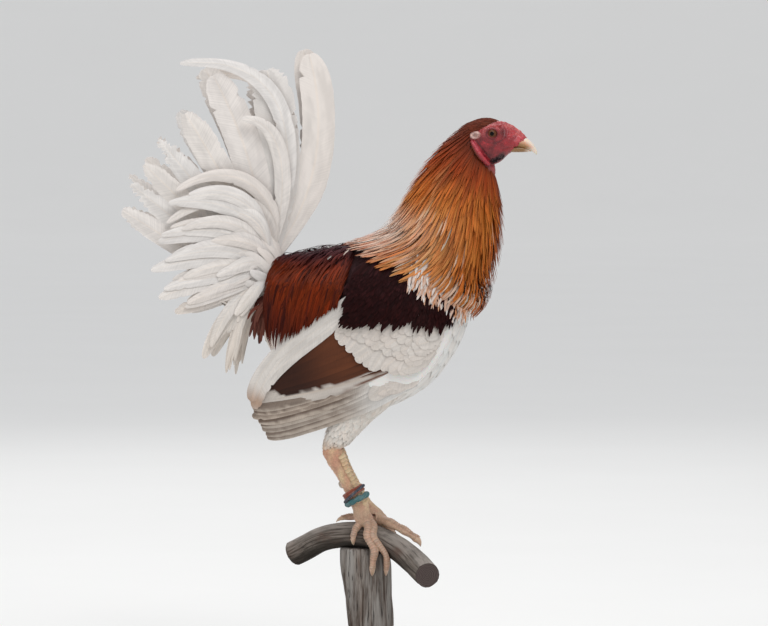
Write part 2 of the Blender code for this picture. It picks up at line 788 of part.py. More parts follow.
def lid_ring(side):
    """The rims of both eyelids, as one oval ring round the eye."""
    bm = bmesh.new()
    count, sides = 10, 5
    rows = []
    for k in range(count):
        a = 2 * math.pi * k / count
        out = Vector((math.cos(a), 0, math.sin(a)))
        middle = Vector((EYE[0], side * 14.6, EYE[2])) + Vector((out.x * 6.6, 0, out.z * 5.6))
        rows.append([
            bm.verts.new(middle + out * 1.5 * math.cos(b) + Vector((0, side, 0)) * 1.9 * math.sin(b))
            for b in (2 * math.pi * j / sides for j in range(sides))
        ])
    for k, row in enumerate(rows):
        nxt = rows[(k + 1) % count]
        for j in range(sides):
            n = (j + 1) % sides
            bm.faces.new((row[j], row[n], nxt[n], nxt[j]))
    return add_object("lid", bm)


def upper_beak(name, grow=0.0, material=None):
    rings = Form(UPPER_BEAK, 2.5).rings(steps(0, 3, 4), 10, grow)
    tip = Vector((UPPER_BEAK_TIP[0], 0, UPPER_BEAK_TIP[1]))
    return loft(name, [back_off(rings, grow), *rings][1 - bool(grow):], material, tip=tip)


def lower_beak(name, grow=0.0, material=None):
    rings = Form(LOWER_BEAK, 3.2).rings(steps(0, 2, 2), 10, grow)
    tip = Vector((LOWER_BEAK_TIP[0], 0, LOWER_BEAK_TIP[1]))
    return loft(name, [back_off(rings, grow), *rings][1 - bool(grow):], material, tip=tip)


def back_off(rings, reach):
    """The first ring moved back along the form, so that a cutter reaches past its end."""
    here = sum(rings[0], Vector()) / len(rings[0])
    ahead = sum(rings[1], Vector()) / len(rings[1])
    return [p - (ahead - here).normalized() * reach for p in rings[0]]


def build_head():
    rings = HEAD.rings(steps(0, 7, 8), 14)
    axis_top = (Vector(HEAD_SECTIONS[0][0]) - Vector(HEAD_SECTIONS[0][1])).normalized()
    shift = Vector((-axis_top.y, 0, axis_top.x)) * -GAP
    rings[0] = [p + shift for p in rings[0]]
    head = loft("head", rings, FACE_SKIN)
    pieces = [
        ellipsoid("comb", (x, 0, z), (length, 4.2, 3.6), 8, 5, 38)
        for x, z, length in ((150, 593, 8.5), (159.5, 589.5, 7.5), (168.5, 583, 6.5))
    ]
    for side in (-1, 1):
        pieces.append(lid_ring(side))
        pieces.append(head_lump("brow", 141, 12.6, 591.5, (9, 2.6, 2.2), -10, side))
        pieces.append(head_lump("lobe", 119.5, 16.2, 581.5, (5.8, 2.8, 4.4), 10, side))
        pieces.append(head_lump("cere", 169.5, 6.2, 577.0, (4.6, 2.4, 3.0), 35, side))
        pieces.append(ridge(
            [(118, side * 15.5, 575), (122.5, side * 17.6, 567), (129, side * 17.4, 558), (135.5, side * 13.6, 550.5)],
            (2.2, 3.3, 3.5, 2.4), 0.8,
        ))
    fuse(head, pieces)
    cutters = []
    for side in (-1, 1):
        cutters.append(ellipsoid("socket", (EYE[0], side * EYE[1], EYE[2]), (EYE_RADIUS + GAP,) * 3, 12, 7))
        cutters.append(ellipsoid("nostril", (170.3, side * 8.5, 575.6), (2.4, 1.3, 0.75), 6, 4, 35))
        cutters.append(ellipsoid("gape", (157.5, side * 11.3, 567.6), (8.5, 2.2, 0.7), 6, 4, 2))
    cutters += [upper_beak("upper_room", GAP), lower_beak("lower_room", GAP), hackle_hull(0.0, 3.0, 2.2)]
    cut(head, cutters)
    for side, word in ((-1, "right"), (1, "left")):
        eye = ellipsoid(f"eye_{word}", (EYE[0], side * EYE[1], EYE[2]), (EYE_RADIUS,) * 3, 12, 7, material=EYE_AMBER)
        eye.data.shade_smooth()
    upper_beak("beak_upper", material=HORN)
    lower_beak("beak_lower", material=HORN)
    return head


# Wings

def wing_sheet(x, z):
    """How far the outside of the folded wing stands from the middle plane."""
    rise = (z - WING_MIDDLE_Z) / WING_ROUNDING
    across = math.sqrt(max(0.05, 1 - rise * rise))
    rear = smooth((WING_FRONT_X - x) / (WING_FRONT_X - WING_REAR_X))
    front = max(0.0, (x - 58.0) / 50.0)
    return WING_HALF_SPAN * across * (1 - WING_REAR_TAPER * rear) - WING_FRONT_TUCK * front * front


def wing_normal(x, z, side):
    step = 1.0
    slope_x = (wing_sheet(x + step, z) - wing_sheet(x - step, z)) / (2 * step)
    slope_z = (wing_sheet(x, z + step) - wing_sheet(x, z - step)) / (2 * step)
    return Vector((-slope_x, side, -slope_z)).normalized()


# x, lower and upper edge of the arm, and how deep it reaches in from the sheet
ARM_STATIONS = (
    (97, 374, 392, 36), (90, 352, 408, 36), (64, 318, 420, 30), (34, 308, 423, 28),
    (8, 314, 422, 24), (-14, 334, 414, 15), (-28, 358, 402, 8),
)


def side_slab(name, side, stations, outer, material=None, per_side=4, rounding=1.0):
    """A slab on the body's side: at each x an inner and outer row of points between two heights."""
    rings = []
    for x, low, high, deep in stations:
        ring = []
        for k in range(per_side + 1):
            z = low + (high - low) * k / per_side
            crown = 1 - rounding * (1 - math.sin(math.pi * (k + 0.35) / (per_side + 0.7)))
            y = wing_sheet(x, z) + outer * crown - 3.0 * (1 - crown)
            ring.append(Vector((x, side * y, z)))
        for k in range(per_side, -1, -1):
            z = low + (high - low) * k / per_side
            crown = 1 - rounding * (1 - math.sin(math.pi * (k + 0.35) / (per_side + 0.7)))
            ring.append(Vector((x, side * (wing_sheet(x, z) - 4.0 - deep * (0.5 + 0.5 * crown)), z)))
        rings.append(ring)
    return loft(name, rings, material)


HULL_STATIONS = (
    (-132, 238, 344, 14), (-118, 236, 368, 14), (-80, 238, 396, 14), (-45, 240, 418, 14), (-20, 244, 432, 18),
    (20, 262, 432, 26), (60, 290, 430, 28), (96, 330, 420, 24), (106, 350, 410, 16),
)


def wing_hull(side):
    """The space that a folded wing fills, for cutting the saddle hackles clear."""
    return side_slab("wing_room", side, HULL_STATIONS, 12.0, rounding=0.0)


def wing_vane(side, root, bend, tip, width, offsets, fullness=0.72, number=5, thick=1.0, roll=0.0):
    """A feather on the wing's sheet along a bent line, at an offset that changes from root to tip."""
    stations = []
    for t in feather_stops(number):
        a, b, c = (1 - t) ** 2, 2 * t * (1 - t), t * t
        x = a * root[0] + b * bend[0] + c * tip[0]
        z = a * root[1] + b * bend[1] + c * tip[1]
        out = wing_normal(x, z, side)
        offset = offsets[0] + (offsets[1] - offsets[0]) * t
        centre = Vector((x, side * wing_sheet(x, z), z)) + out * offset
        tilted = (out + Vector((0, 0, 1)) * roll).normalized()
        stations.append((centre, tilted, width / 2 * feather_profile(t, fullness)))
    return vane(stations, thick, 0.05)


def between(a, b, t):
    return tuple(p + (q - p) * t for p, q in zip(a, b))


def wing_feathers(side, rng):
    feathers = []
    number = 6
    for k in range(number):
        t = k / (number - 1)
        root = between((74, 322), (34, 344), t)
        tip = between((-104, 252), (-119, 286), t)
        bend = between((4, 262), (-20, 300), t)
        jitter = rng.uniform(-2, 2)
        feathers.append(wing_vane(
            side, root, bend, (tip[0] + jitter, tip[1]), 20, (-10 + 4.5 * t, -10 + 4.5 * t), 0.86, 4, 0.7,
        ))
    number = 7
    for k in range(number):
        t = k / (number - 1)
        root = between((30, 334), (4, 404), t)
        tip = between((-123, 296), (-112, 346), t)
        bend = between((-50, 300), (-58, 398), t)
        feathers.append(wing_vane(
            side, root, bend, (tip[0] + rng.uniform(-2, 2), tip[1]), 24, (-4.6 + 3.0 * t, -4.6 + 6.2 * t), 0.88, 4, 0.8,
        ))
    for k in range(2):
        root = between((0, 408), (6, 414), k)
        tip = between((-94, 366), (-66, 384), k)
        bend = between((-52, 404), (-34, 408), k)
        feathers.append(wing_vane(side, root, bend, tip, 22, (-2.5, 2.6 + 1.0 * k), 0.85, 4, 0.8))
    number = 6
    for k in range(number):
        t = k / (number - 1)
        tip = between((44, 315), (-34, 362), t)
        root = (tip[0] + 40 - 6 * t, tip[1] + 22 + 22 * t)
        bend = (tip[0] + 22, tip[1] + 6 + 14 * t)
        feathers.append(wing_vane(side, root, bend, tip, 24, (-4.0, 3.4), 0.7, 3, roll=-0.15))
    number = 4
    for k in range(number):
        t = k / (number - 1)
        tip = between((54, 300), (0, 322), t)
        root = (tip[0] + 36, tip[1] + 20)
        bend = (tip[0] + 19, tip[1] + 5)
        feathers.append(wing_vane(side, root, bend, tip, 22, (-6, -1.5), 0.7, 3, roll=-0.15))
    for row, (start, end, number) in enumerate((
        ((70, 336), (-34, 384), 5), ((74, 356), (-22, 402), 4), ((74, 378), (14, 410), 3),
    )):
        for k in range(number):
            tip = between(start, end, k / (number - 1))
            tip = (tip[0] + rng.uniform(-2, 2), tip[1] + rng.uniform(-2, 2))
            root = (tip[0] + 26, tip[1] + 18)
            bend = (tip[0] + 15, tip[1] + 7)
            feathers.append(wing_vane(side, root, bend, tip, 28, (-3.5, 4.2 + 1.0 * row), 0.65, 3, roll=-0.15))
    return feathers


def build_wing(side, word):
    arm = side_slab(f"wing_{word}", side, ARM_STATIONS, -1.5, WHITE_PLUMAGE)
    fuse(arm, wing_feathers(side, random.Random(30 + side)))
    return cut(arm, [
        torso_solid("torso_room", GAP), hackle_hull(), thigh_solid("thigh_room", side, GAP + 0.2),
    ])


# Tail

def tail_hull():
    """The space behind the rump that the tail fills, for cutting the saddle hackles clear."""
    top, low = Vector(TAIL_CORE[0][0]), Vector(TAIL_CORE[0][1])
    line = (top - low).normalized()
    back = Vector((-line.y, line.x))
    rings = []
    for reach in (0.0, 60.0):
        ring = []
        for along, across in ((-60, -60), (90, -60), (90, 60), (-60, 60)):
            spot = low + line * along + back * reach
            ring.append(Vector((spot.x, across, spot.y)))
        rings.append(ring)
    return loft("tail_room", rings)


# Main tail feathers of one side from the top down: tip (x, z), bend (x, z), width, spread
TAIL_FAN = (
    ((-60, 668), (-28, 545), 36, 5),
    ((-112, 650), (-70, 560), 38, 8),
    ((-164, 645), (-112, 550), 38, 12),
    ((-194, 604), (-140, 520), 32, 16),
    ((-222, 576), (-158, 500), 25, 20),
    ((-238, 549), (-168, 482), 25, 23),
    ((-252, 528), (-176, 466), 24, 25),
    ((-261, 500), (-182, 448), 24, 27),
)
SICKLES = (
    ((-200, 658), (-66, 565), (-72, 672), 20, 7),
    ((-133, 567), (-76, 520), (-84, 574), 18, 12),
)
# Side hangers and coverts of one side: root, bend, tip, width, spread at the tip
HANGERS = (
    ((-100, 452), (-118, 536), (-208, 520), 30, 32),
    ((-104, 444), (-136, 498), (-226, 478), 32, 37),
    ((-106, 438), (-148, 470), (-232, 444), 32, 38),
    ((-108, 432), (-156, 442), (-228, 413), 32, 37),
    ((-110, 426), (-146, 420), (-194, 400), 30, 33),
    ((-110, 420), (-140, 398), (-160, 350), 30, 28),
    ((-108, 414), (-126, 388), (-139, 328), 22, 24),
    ((-104, 460), (-114, 492), (-160, 500), 28, 23),
    ((-102, 450), (-128, 470), (-174, 462), 28, 29),
    ((-106, 440), (-128, 442), (-166, 420), 28, 31),
    ((-106, 426), (-120, 412), (-140, 378), 26, 27),
)


def tail_vane(side, root, bend, tip, width, spread, root_y, fullness, number=6, thick=1.2, bow=0.0):
    """A tail feather that starts in the tail's root and leans out to its spread at the tip."""
    stations = []
    for t in feather_stops(number):
        a, b, c = (1 - t) ** 2, 2 * t * (1 - t), t * t
        x = a * root[0] + b * bend[0] + c * tip[0]
        z = a * root[1] + b * bend[1] + c * tip[1]
        y = side * (root_y + (spread - root_y) * t + bow * math.sin(math.pi * t))
        out = Vector((0, side, 0))
        stations.append((Vector((x, y, z)), out, width / 2 * feather_profile(t, fullness)))
    return vane(stations, thick, 0.06)


def build_tail():
    rings = Form(TAIL_CORE, 2.0).rings(steps(0, 4, 4), 14)
    line = (Vector(TAIL_CORE[0][0]) - Vector(TAIL_CORE[0][1])).normalized()
    shift = Vector((-line.y, 0, line.x)) * GAP
    rings[0] = [p + shift for p in rings[0]]
    core = loft("tail", rings, WHITE_PLUMAGE, tip=Vector((TAIL_CORE_END[0], 0, TAIL_CORE_END[1])))
    rng = random.Random(7)
    feathers = []
    for side in (-1, 1):
        for k, (tip, bend, width, spread) in enumerate(TAIL_FAN):
            root = between((-101, 449), (-122, 418), k / (len(TAIL_FAN) - 1))
            far = 0 if side < 0 else 1
            tip = (tip[0] - far * rng.uniform(6, 16), tip[1] - far * rng.uniform(-4, 10))
            feathers.append(tail_vane(side, root, bend, tip, width, spread, 2 + 1.3 * k, 0.8, 5))
        for tip, low, high, width, spread in SICKLES:
            root = (-103, 455)
            tip_here = (tip[0] + (12 if side > 0 else 0), tip[1] - (16 if side > 0 else 0))
            feathers.append(sickle(side, (root, low, high, tip_here), width, spread))
        for k, (root, bend, tip, width, spread) in enumerate(HANGERS):
            feathers.append(tail_vane(side, root, bend, tip, width, spread, 12 + 0.9 * k, 0.66, 4, bow=3.0))
    return fuse(core, feathers)


def sickle(side, line, width, spread):
    """A long narrow feather that rises and arches over backwards."""
    stations = []
    for t in feather_stops(7):
        weights = ((1 - t) ** 3, 3 * t * (1 - t) ** 2, 3 * t * t * (1 - t), t ** 3)
        x = sum(w * p[0] for w, p in zip(weights, line))
        z = sum(w * p[1] for w, p in zip(weights, line))
        y = side * (5 + (spread + 10 - 5) * smooth(t))
        half = width / 2 * (0.5 + 0.5 * smooth(t / 0.3)) * (1 - 0.6 * smooth((t - 0.55) / 0.45))
        stations.append((Vector((x, y, z)), Vector((0, side, 0.15)).normalized(), half))
    return vane(stations, 1.3, 0.06)


def build():
    for obj in list(bpy.data.objects):
        bpy.data.objects.remove(obj)
    group = bpy.data.collections.new("red_pyle_gamecock")
    bpy.context.scene.collection.children.link(group)
    build_stand()
    build_limb()
    build_post()
    build_legs()
    build_torso()
    build_neck()
    build_head()
    build_wing(-1, "right")
    build_wing(1, "left")
    build_tail()
    for obj in list(bpy.context.scene.collection.objects):
        bpy.context.scene.collection.objects.unlink(obj)
        group.objects.link(obj)


build()
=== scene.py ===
"""Finish of the red pyle gamecock, a still display model on a cut length of its perch.

Lengths are in millimetres, and MM turns them into metres. The bird faces +X, and +Y is its left.
"""

import math

import bpy
import numpy as np
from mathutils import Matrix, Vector, noise


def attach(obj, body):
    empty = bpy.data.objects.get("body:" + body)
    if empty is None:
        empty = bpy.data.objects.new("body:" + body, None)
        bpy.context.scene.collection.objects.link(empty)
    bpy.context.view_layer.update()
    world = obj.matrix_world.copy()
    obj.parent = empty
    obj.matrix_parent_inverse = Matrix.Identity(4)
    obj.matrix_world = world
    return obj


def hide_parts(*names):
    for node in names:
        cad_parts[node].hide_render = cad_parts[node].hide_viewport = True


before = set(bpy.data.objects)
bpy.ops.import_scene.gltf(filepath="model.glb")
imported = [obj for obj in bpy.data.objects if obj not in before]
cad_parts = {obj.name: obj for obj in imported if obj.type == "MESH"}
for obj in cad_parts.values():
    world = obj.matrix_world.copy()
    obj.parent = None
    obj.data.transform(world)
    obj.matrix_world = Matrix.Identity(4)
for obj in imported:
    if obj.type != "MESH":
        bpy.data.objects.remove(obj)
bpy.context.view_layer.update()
bpy.ops.object.select_all(action="DESELECT")

# Studio
# A pale round floor that sweeps up at its far edge, soft lamps, and a long lens at the
# photograph's angle. None of it belongs to the model.

MM = 0.001
VIEW_CENTRE = Vector((0.02052, 0.0, 0.38896))
VIEW_WIDTH = 0.82944
VIEW_DISTANCE = 6.0
VIEW_AZIMUTH, VIEW_ELEVATION = math.radians(8), math.radians(3)
FLOOR_RADIUS, SWEEP = 12.0, 4.0


def put(tree, kind, inputs=(), **settings):
    """Adds a node: settings are its properties, and inputs are values or sockets by name or number."""
    made = tree.nodes.new(kind)
    for key, value in settings.items():
        setattr(made, key, value)
    for key, value in dict(inputs).items():
        if isinstance(value, bpy.types.NodeSocket):
            tree.links.new(value, made.inputs[key])
        else:
            made.inputs[key].default_value = value
    return made


def mixed(tree, amount, first, second, kind="MIX"):
    """The colour between two colours, or one laid on the other."""
    inputs = {0: amount}
    for key, value in ((6, first), (7, second)):
        inputs[key] = value if isinstance(value, bpy.types.NodeSocket) else (*value, 1.0)
    return put(tree, "ShaderNodeMix", inputs, data_type="RGBA", blend_type=kind).outputs[2]


def toned(tree, amount, colour, tint):
    """The colour, multiplied by a tint by so much."""
    return mixed(tree, amount, colour, mixed(tree, 1.0, colour, tint, "MULTIPLY"))


def layered(tree, colour, *layers):
    """Lays colours over a first one. Each covers as its value goes from low to high, up to its share."""
    for value, low, high, share, over in layers:
        colour = mixed(tree, spread(tree, value, low, high, 0.0, share), colour, over)
    return colour


def maths(tree, kind, first, second=0.0, clamp=False):
    inputs = {0: first, 1: second}
    return put(tree, "ShaderNodeMath", inputs, operation=kind, use_clamp=clamp).outputs[0]


def spread(tree, value, low, high, first=0.0, second=1.0):
    """Maps a value's range to another, held at both ends."""
    inputs = {"Value": value, "From Min": low, "From Max": high, "To Min": first, "To Max": second}
    return put(tree, "ShaderNodeMapRange", inputs, clamp=True, interpolation_type="SMOOTHSTEP").outputs[0]


def cloud(tree, place, scale, detail=3.0, rough=0.55, stretch=None):
    """Soft noise at a place. Stretch draws it out along the axes with small numbers."""
    if stretch:
        place = put(tree, "ShaderNodeMapping", {"Vector": place, "Scale": stretch}).outputs[0]
    inputs = {"Vector": place, "Scale": scale, "Detail": detail, "Roughness": rough}
    return put(tree, "ShaderNodeTexNoise", inputs).outputs["Fac"]


def finish(name, roughness, **values):
    """A new material's tree and its shader."""
    material = bpy.data.materials.new(name)
    material.use_nodes = True
    shader = material.node_tree.nodes["Principled BSDF"]
    shader.inputs["Roughness"].default_value = roughness
    for key, value in values.items():
        shader.inputs[key.replace("_", " ")].default_value = value
    return material, material.node_tree, shader


def bumped(tree, shader, height, reach, strength=1.0):
    """Raises the surface by a height, whose full range is worth so many millimetres."""
    bump = put(tree, "ShaderNodeBump", {"Height": height, "Distance": reach * MM, "Strength": strength})
    tree.links.new(bump.outputs[0], shader.inputs["Normal"])


def feed(tree, shader, value, socket="Base Color"):
    """Leads a colour or a value into the shader."""
    tree.links.new(value, shader.inputs[socket])


def place_on(tree):
    """The place on the piece, in metres."""
    return put(tree, "ShaderNodeTexCoord").outputs["Object"]


def parts_of(tree, vector):
    return put(tree, "ShaderNodeSeparateXYZ", {0: vector}).outputs


def vector_of(tree, x, y, z=0.0):
    return put(tree, "ShaderNodeCombineXYZ", {0: x, 1: y, 2: z}).outputs[0]


back = Vector((
    math.sin(VIEW_AZIMUTH) * math.cos(VIEW_ELEVATION),
    -math.cos(VIEW_AZIMUTH) * math.cos(VIEW_ELEVATION),
    math.sin(VIEW_ELEVATION),
))
bpy.ops.object.camera_add(location=VIEW_CENTRE + back * VIEW_DISTANCE)
camera = bpy.context.object
camera.rotation_euler = (-back).to_track_quat("-Z", "Y").to_euler()
camera.data.lens = camera.data.sensor_width * VIEW_DISTANCE / VIEW_WIDTH
camera.data.clip_end = 80.0
bpy.context.scene.camera = camera

bpy.ops.mesh.primitive_circle_add(vertices=128, radius=FLOOR_RADIUS, fill_type="NGON")
floor = bpy.context.object
floor.name = "studio_floor"
bpy.ops.object.mode_set(mode="EDIT")
bpy.ops.mesh.select_all(action="SELECT")
bpy.ops.mesh.region_to_loop()
reached, risen = FLOOR_RADIUS, 0.0
for step in range(1, 13):
    turn = math.pi / 2 * step / 12
    radius, height = FLOOR_RADIUS + SWEEP * math.sin(turn), SWEEP * (1 - math.cos(turn))
    bpy.ops.mesh.extrude_region_move()
    bpy.ops.transform.resize(value=(radius / reached, radius / reached, 1.0))
    bpy.ops.transform.translate(value=(0, 0, height - risen))
    reached, risen = radius, height
bpy.ops.object.mode_set(mode="OBJECT")
floor.data.shade_smooth()
paper, tree, shader = finish("studio_paper", 0.9, Emission_Strength=0.36)
feed(tree, shader, mixed(tree, cloud(tree, place_on(tree), 3.0), (0.48, 0.475, 0.46), (0.51, 0.505, 0.49)))
floor.data.materials.append(paper)

# where it stands, its width and its strength in watts
LAMPS = (
    ((1.2, -2.2, 2.9), 1.9, 42.0),
    ((-0.4, 0.2, 3.1), 2.6, 46.0),
    ((-2.6, -2.4, 1.5), 2.2, 9.0),
    ((-0.8, 2.8, 1.9), 2.0, 14.0),
)
for place, width, watts in LAMPS:
    aim = (Vector((0, 0, 0.36)) - Vector(place)).to_track_quat("-Z", "Y")
    bpy.ops.object.light_add(type="AREA", location=place, rotation=aim.to_euler())
    lamp = bpy.context.object.data
    lamp.shape, lamp.size, lamp.energy = "DISK", width, watts
sky = bpy.data.worlds.new("studio_sky")
sky.use_nodes = True
sky.node_tree.nodes["Background"].inputs[0].default_value = (0.92, 0.95, 1.0, 1.0)
sky.node_tree.nodes["Background"].inputs[1].default_value = 0.50
bpy.context.scene.world = sky
bpy.context.scene.view_settings.view_transform = "Standard"

# Stand
# A flat hardwood board with a routed groove, and two polished steel rods that are screwed
# into it through small collars and carry the post.

BASE_SIZE = (250.0, 190.0, 16.0)
BASE_EDGE = 4.0
ROD_RADIUS, ROD_HEIGHT, ROD_SPREAD = 4.0, 32.0, 22.0
COLLAR_RADIUS, COLLAR_HEIGHT = 7.5, 3.4
POST_Y = 8.0
GAP = 0.3


def pick(obj, *others):
    """Selects a piece, and any others with it, and nothing else."""
    bpy.ops.object.select_all(action="DESELECT")
    for each in (obj, *others):
        each.select_set(True)
    bpy.context.view_layer.objects.active = obj


def settle(obj, name, material, slot, *nodes, angle=None):
    """Places a finished piece in its mesh, and gives it its name, finish, body and the nodes it replaces.

    Edges sharper than the angle, in degrees, stay sharp.
    """
    pick(obj)
    bpy.ops.object.transform_apply(location=True, rotation=True, scale=True)
    obj.name = obj.data.name = name
    obj.data.materials.clear()
    obj.data.materials.append(material)
    bpy.ops.object.shade_smooth()
    if angle:
        bpy.ops.object.shade_smooth_by_angle(angle=math.radians(angle))
    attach(obj, "root")
    if nodes:
        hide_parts(*nodes)
    obj.select_set(False)


def apply_modifier(obj, kind, **settings):
    """Adds a modifier, sets it and applies it."""
    pick(obj)
    modifier = obj.modifiers.new(kind.title(), kind)
    for key, value in settings.items():
        setattr(modifier, key, value)
    bpy.ops.object.modifier_apply(modifier=modifier.name)
    return obj


bpy.ops.mesh.primitive_cube_add(size=1, location=(0, 0, BASE_SIZE[2] / 2 * MM))
board = bpy.context.object
board.scale = [side * MM for side in BASE_SIZE]
bpy.ops.object.transform_apply(location=True, rotation=False, scale=True)
apply_modifier(board, "BEVEL", width=BASE_EDGE * MM, segments=5, limit_method="ANGLE")
bpy.ops.object.mode_set(mode="EDIT")
bpy.ops.mesh.select_all(action="DESELECT")
bpy.ops.object.mode_set(mode="OBJECT")
for face in board.data.polygons:
    face.select = face.normal.z > 0.999 and face.area > 0.01
bpy.ops.object.mode_set(mode="EDIT")
bpy.ops.mesh.select_mode(type="FACE")
bpy.ops.mesh.inset(thickness=7 * MM)
for sink in (-1.2, 1.2):
    bpy.ops.mesh.inset(thickness=1.1 * MM)
    bpy.ops.transform.translate(value=(0, 0, sink * MM))
bpy.ops.object.mode_set(mode="OBJECT")
walnut, tree, shader = finish("stand_walnut", 0.42, Coat_Weight=0.25, Coat_Roughness=0.2)
figure = cloud(tree, place_on(tree), 34.0, 5.0, 0.6, (0.25, 2.2, 1.0))
pores = cloud(tree, place_on(tree), 900.0, 2.0, 0.5, (0.06, 1.0, 1.0))
feed(tree, shader, layered(
    tree, (0.050, 0.022, 0.011), (figure, 0.36, 0.64, 1.0, (0.145, 0.068, 0.032)),
    (pores, 0.56, 0.66, 0.6, (0.025, 0.011, 0.006)),
))
feed(tree, shader, spread(tree, pores, 0.4, 0.7, 0.36, 0.55), "Roughness")
bumped(tree, shader, pores, -0.25)
settle(board, "stand_base_board", walnut, "stand_wood", "stand_base", angle=35)

steel, tree, shader = finish("stand_steel_brushed", 0.28, Metallic=1.0)
lathe = cloud(tree, place_on(tree), 1500.0, 2.0, 0.5, (0.03, 0.03, 1.0))
feed(tree, shader, mixed(tree, lathe, (0.50, 0.50, 0.51), (0.66, 0.66, 0.66)))
feed(tree, shader, spread(tree, lathe, 0.3, 0.7, 0.2, 0.38), "Roughness")
for word, side in (("left", 1), ("right", -1)):
    turned = []
    for radius, length, edge, steps in (
        (COLLAR_RADIUS, COLLAR_HEIGHT, 0.8, 3), (ROD_RADIUS, ROD_HEIGHT, 0.35, 2),
    ):
        middle = Vector((0, POST_Y + side * ROD_SPREAD / 2, BASE_SIZE[2] + GAP + length / 2))
        bpy.ops.mesh.primitive_cylinder_add(
            vertices=48, radius=radius * MM, depth=length * MM, location=middle * MM,
        )
        turned.append(bpy.context.object)
        apply_modifier(turned[-1], "BEVEL", width=edge * MM, segments=steps, limit_method="ANGLE")
    collar, rod = turned
    pick(rod, collar)
    bpy.ops.object.join()
    settle(rod, f"stand_rod_{word}_steel", steel, "stand_steel", f"stand_rod_{word}", angle=40)

# Perch
# A bowed hardwood limb, weathered grey, paler on top and with painted shade underneath, that lies in a
# notch cut across the head of an old split post.

POST_BOTTOM, POST_TOP = 48.6, 134.5
POST_RADII = (24.0, 24.5, 25.0, 26.0, 27.0, 26.0)
POST_LEAN = 7.0
LIMB_RADIUS = 13.5
LIMB_ROUTE = np.array((
    (-83, 24, 124), (-70, 20, 131), (-49, 12, 142), (-27, 5, 147.5), (-5, 1, 148),
    (16, -3, 144), (38, -14, 135), (56, -27, 123), (71, -43, 112), (85, -60, 102),
), float)
LIMB_CUT_NORMAL = Vector((0.50, -0.84, -0.22))
LIMB_CUT_AT = Vector((75, -46, 110)) * MM


def through(values, s):
    """Catmull-Rom rows at s, where whole numbers of s fall on the given rows."""
    values = np.asarray(values, float)
    s = np.clip(np.asarray(s, float), 0.0, len(values) - 1.0)
    i = np.minimum(s.astype(int), len(values) - 2)
    t = (s - i)[..., None]
    a, b, c, d = (values[np.clip(i + k, 0, len(values) - 1)] for k in (-1, 0, 1, 2))
    return 0.5 * (
        2 * b + (c - a) * t + (2 * a - 5 * b + 4 * c - d) * t ** 2 + (3 * b - a - 3 * c + d) * t ** 3
    )


def unit(vectors):
    return vectors / np.maximum(np.linalg.norm(vectors, axis=-1, keepdims=True), 1e-9)


def limb_frame(s):
    """Centre, direction, up and towards-the-viewer of the limb at s along its route."""
    s = np.asarray(s, float)
    along = unit(through(LIMB_ROUTE, s + 0.05) - through(LIMB_ROUTE, s - 0.05))
    up = unit(np.array((0.0, 0.0, 1.0)) - along * along[..., 2:])
    return through(LIMB_ROUTE, s), along, up, np.cross(along, up)


def limb_at(s, angle, away=0.0):
    """A place on the limb's surface, with the angle in radians from its top."""
    s, angle = np.broadcast_arrays(np.asarray(s, float), np.asarray(angle, float))
    centre, _, up, near = limb_frame(s)
    radius = LIMB_RADIUS * (1 + 0.02 * np.sin(2.1 * s + 2 * angle) + 0.015 * np.sin(5 * angle - s)) + away
    return centre + (up * np.cos(angle)[..., None] + near * np.sin(angle)[..., None]) * radius[..., None]


def mesh_piece(name, points, faces):
    """A new mesh through points in millimetres."""
    mesh = bpy.data.meshes.new(name)
    mesh.from_pydata((points.reshape(-1, 3) * MM).tolist(), [], faces)
    obj = bpy.data.objects.new(name, mesh)
    bpy.context.scene.collection.objects.link(obj)
    return obj


def faced_outwards(obj):
    """Turns the faces of a closed mesh outwards."""
    pick(obj)
    bpy.ops.object.mode_set(mode="EDIT")
    bpy.ops.mesh.select_all(action="SELECT")
    bpy.ops.mesh.normals_make_consistent(inside=False)
    bpy.ops.object.mode_set(mode="OBJECT")
    return obj


def round_turn(count):
    """Even angles once round."""
    return np.linspace(0, 2 * math.pi, count, endpoint=False)


def closed_form(name, rings, tip=None):
    """A closed surface through rings of equally many points, ended by fans."""
    rings = np.asarray(rings, float)
    rows, count = rings.shape[:2]
    ends = [rings[0].mean(0), rings[-1].mean(0) if tip is None else np.asarray(tip, float)]
    k = np.arange(count)
    n = (k + 1) % count
    faces = []
    for r in range(rows - 1):
        a, b = r * count, (r + 1) * count
        faces += np.stack([a + k, a + n, b + n, b + k], -1).tolist()
    low, high, top = rows * count, rows * count + 1, (rows - 1) * count
    faces += np.stack([k * 0 + low, n, k], -1).tolist()
    faces += np.stack([top + k, top + n, k * 0 + high], -1).tolist()
    return faced_outwards(mesh_piece(name, np.concatenate([rings.reshape(-1, 3), ends]), faces))


def co_of(obj):
    """The mesh's points, in millimetres."""
    values = np.empty(len(obj.data.vertices) * 3, np.float32)
    obj.data.vertices.foreach_get("co", values)
    return values.reshape(-1, 3).astype(float) / MM


def set_co(obj, points):
    obj.data.vertices.foreach_set("co", (points * MM).astype(np.float32).ravel())
    obj.data.update()


def rough_noise(points, scale, seed=0.0):
    """Even noise from -1 to 1 at points given in millimetres."""
    shift = Vector((seed, seed * 1.7, -seed))
    return np.array([noise.noise(Vector(p) * scale + shift) for p in points])


def bell(*given):
    """1 in the middle, falling away over a width, for pairs of a distance and its width."""
    return np.exp(-sum((away / width) ** 2 for away, width in zip(given[::2], given[1::2])))


def keep(obj, name, values):
    """Keeps a value for each point of the mesh: the colour called plume, or else a vector."""
    kind, field = ("FLOAT_COLOR", "color") if name == "plume" else ("FLOAT_VECTOR", "vector")
    if name == "plume":
        values = np.concatenate([values, np.ones((len(values), 1))], 1)
    layer = obj.data.attributes.new(name, kind, "POINT")
    layer.data.foreach_set(field, values.astype(np.float32).ravel())


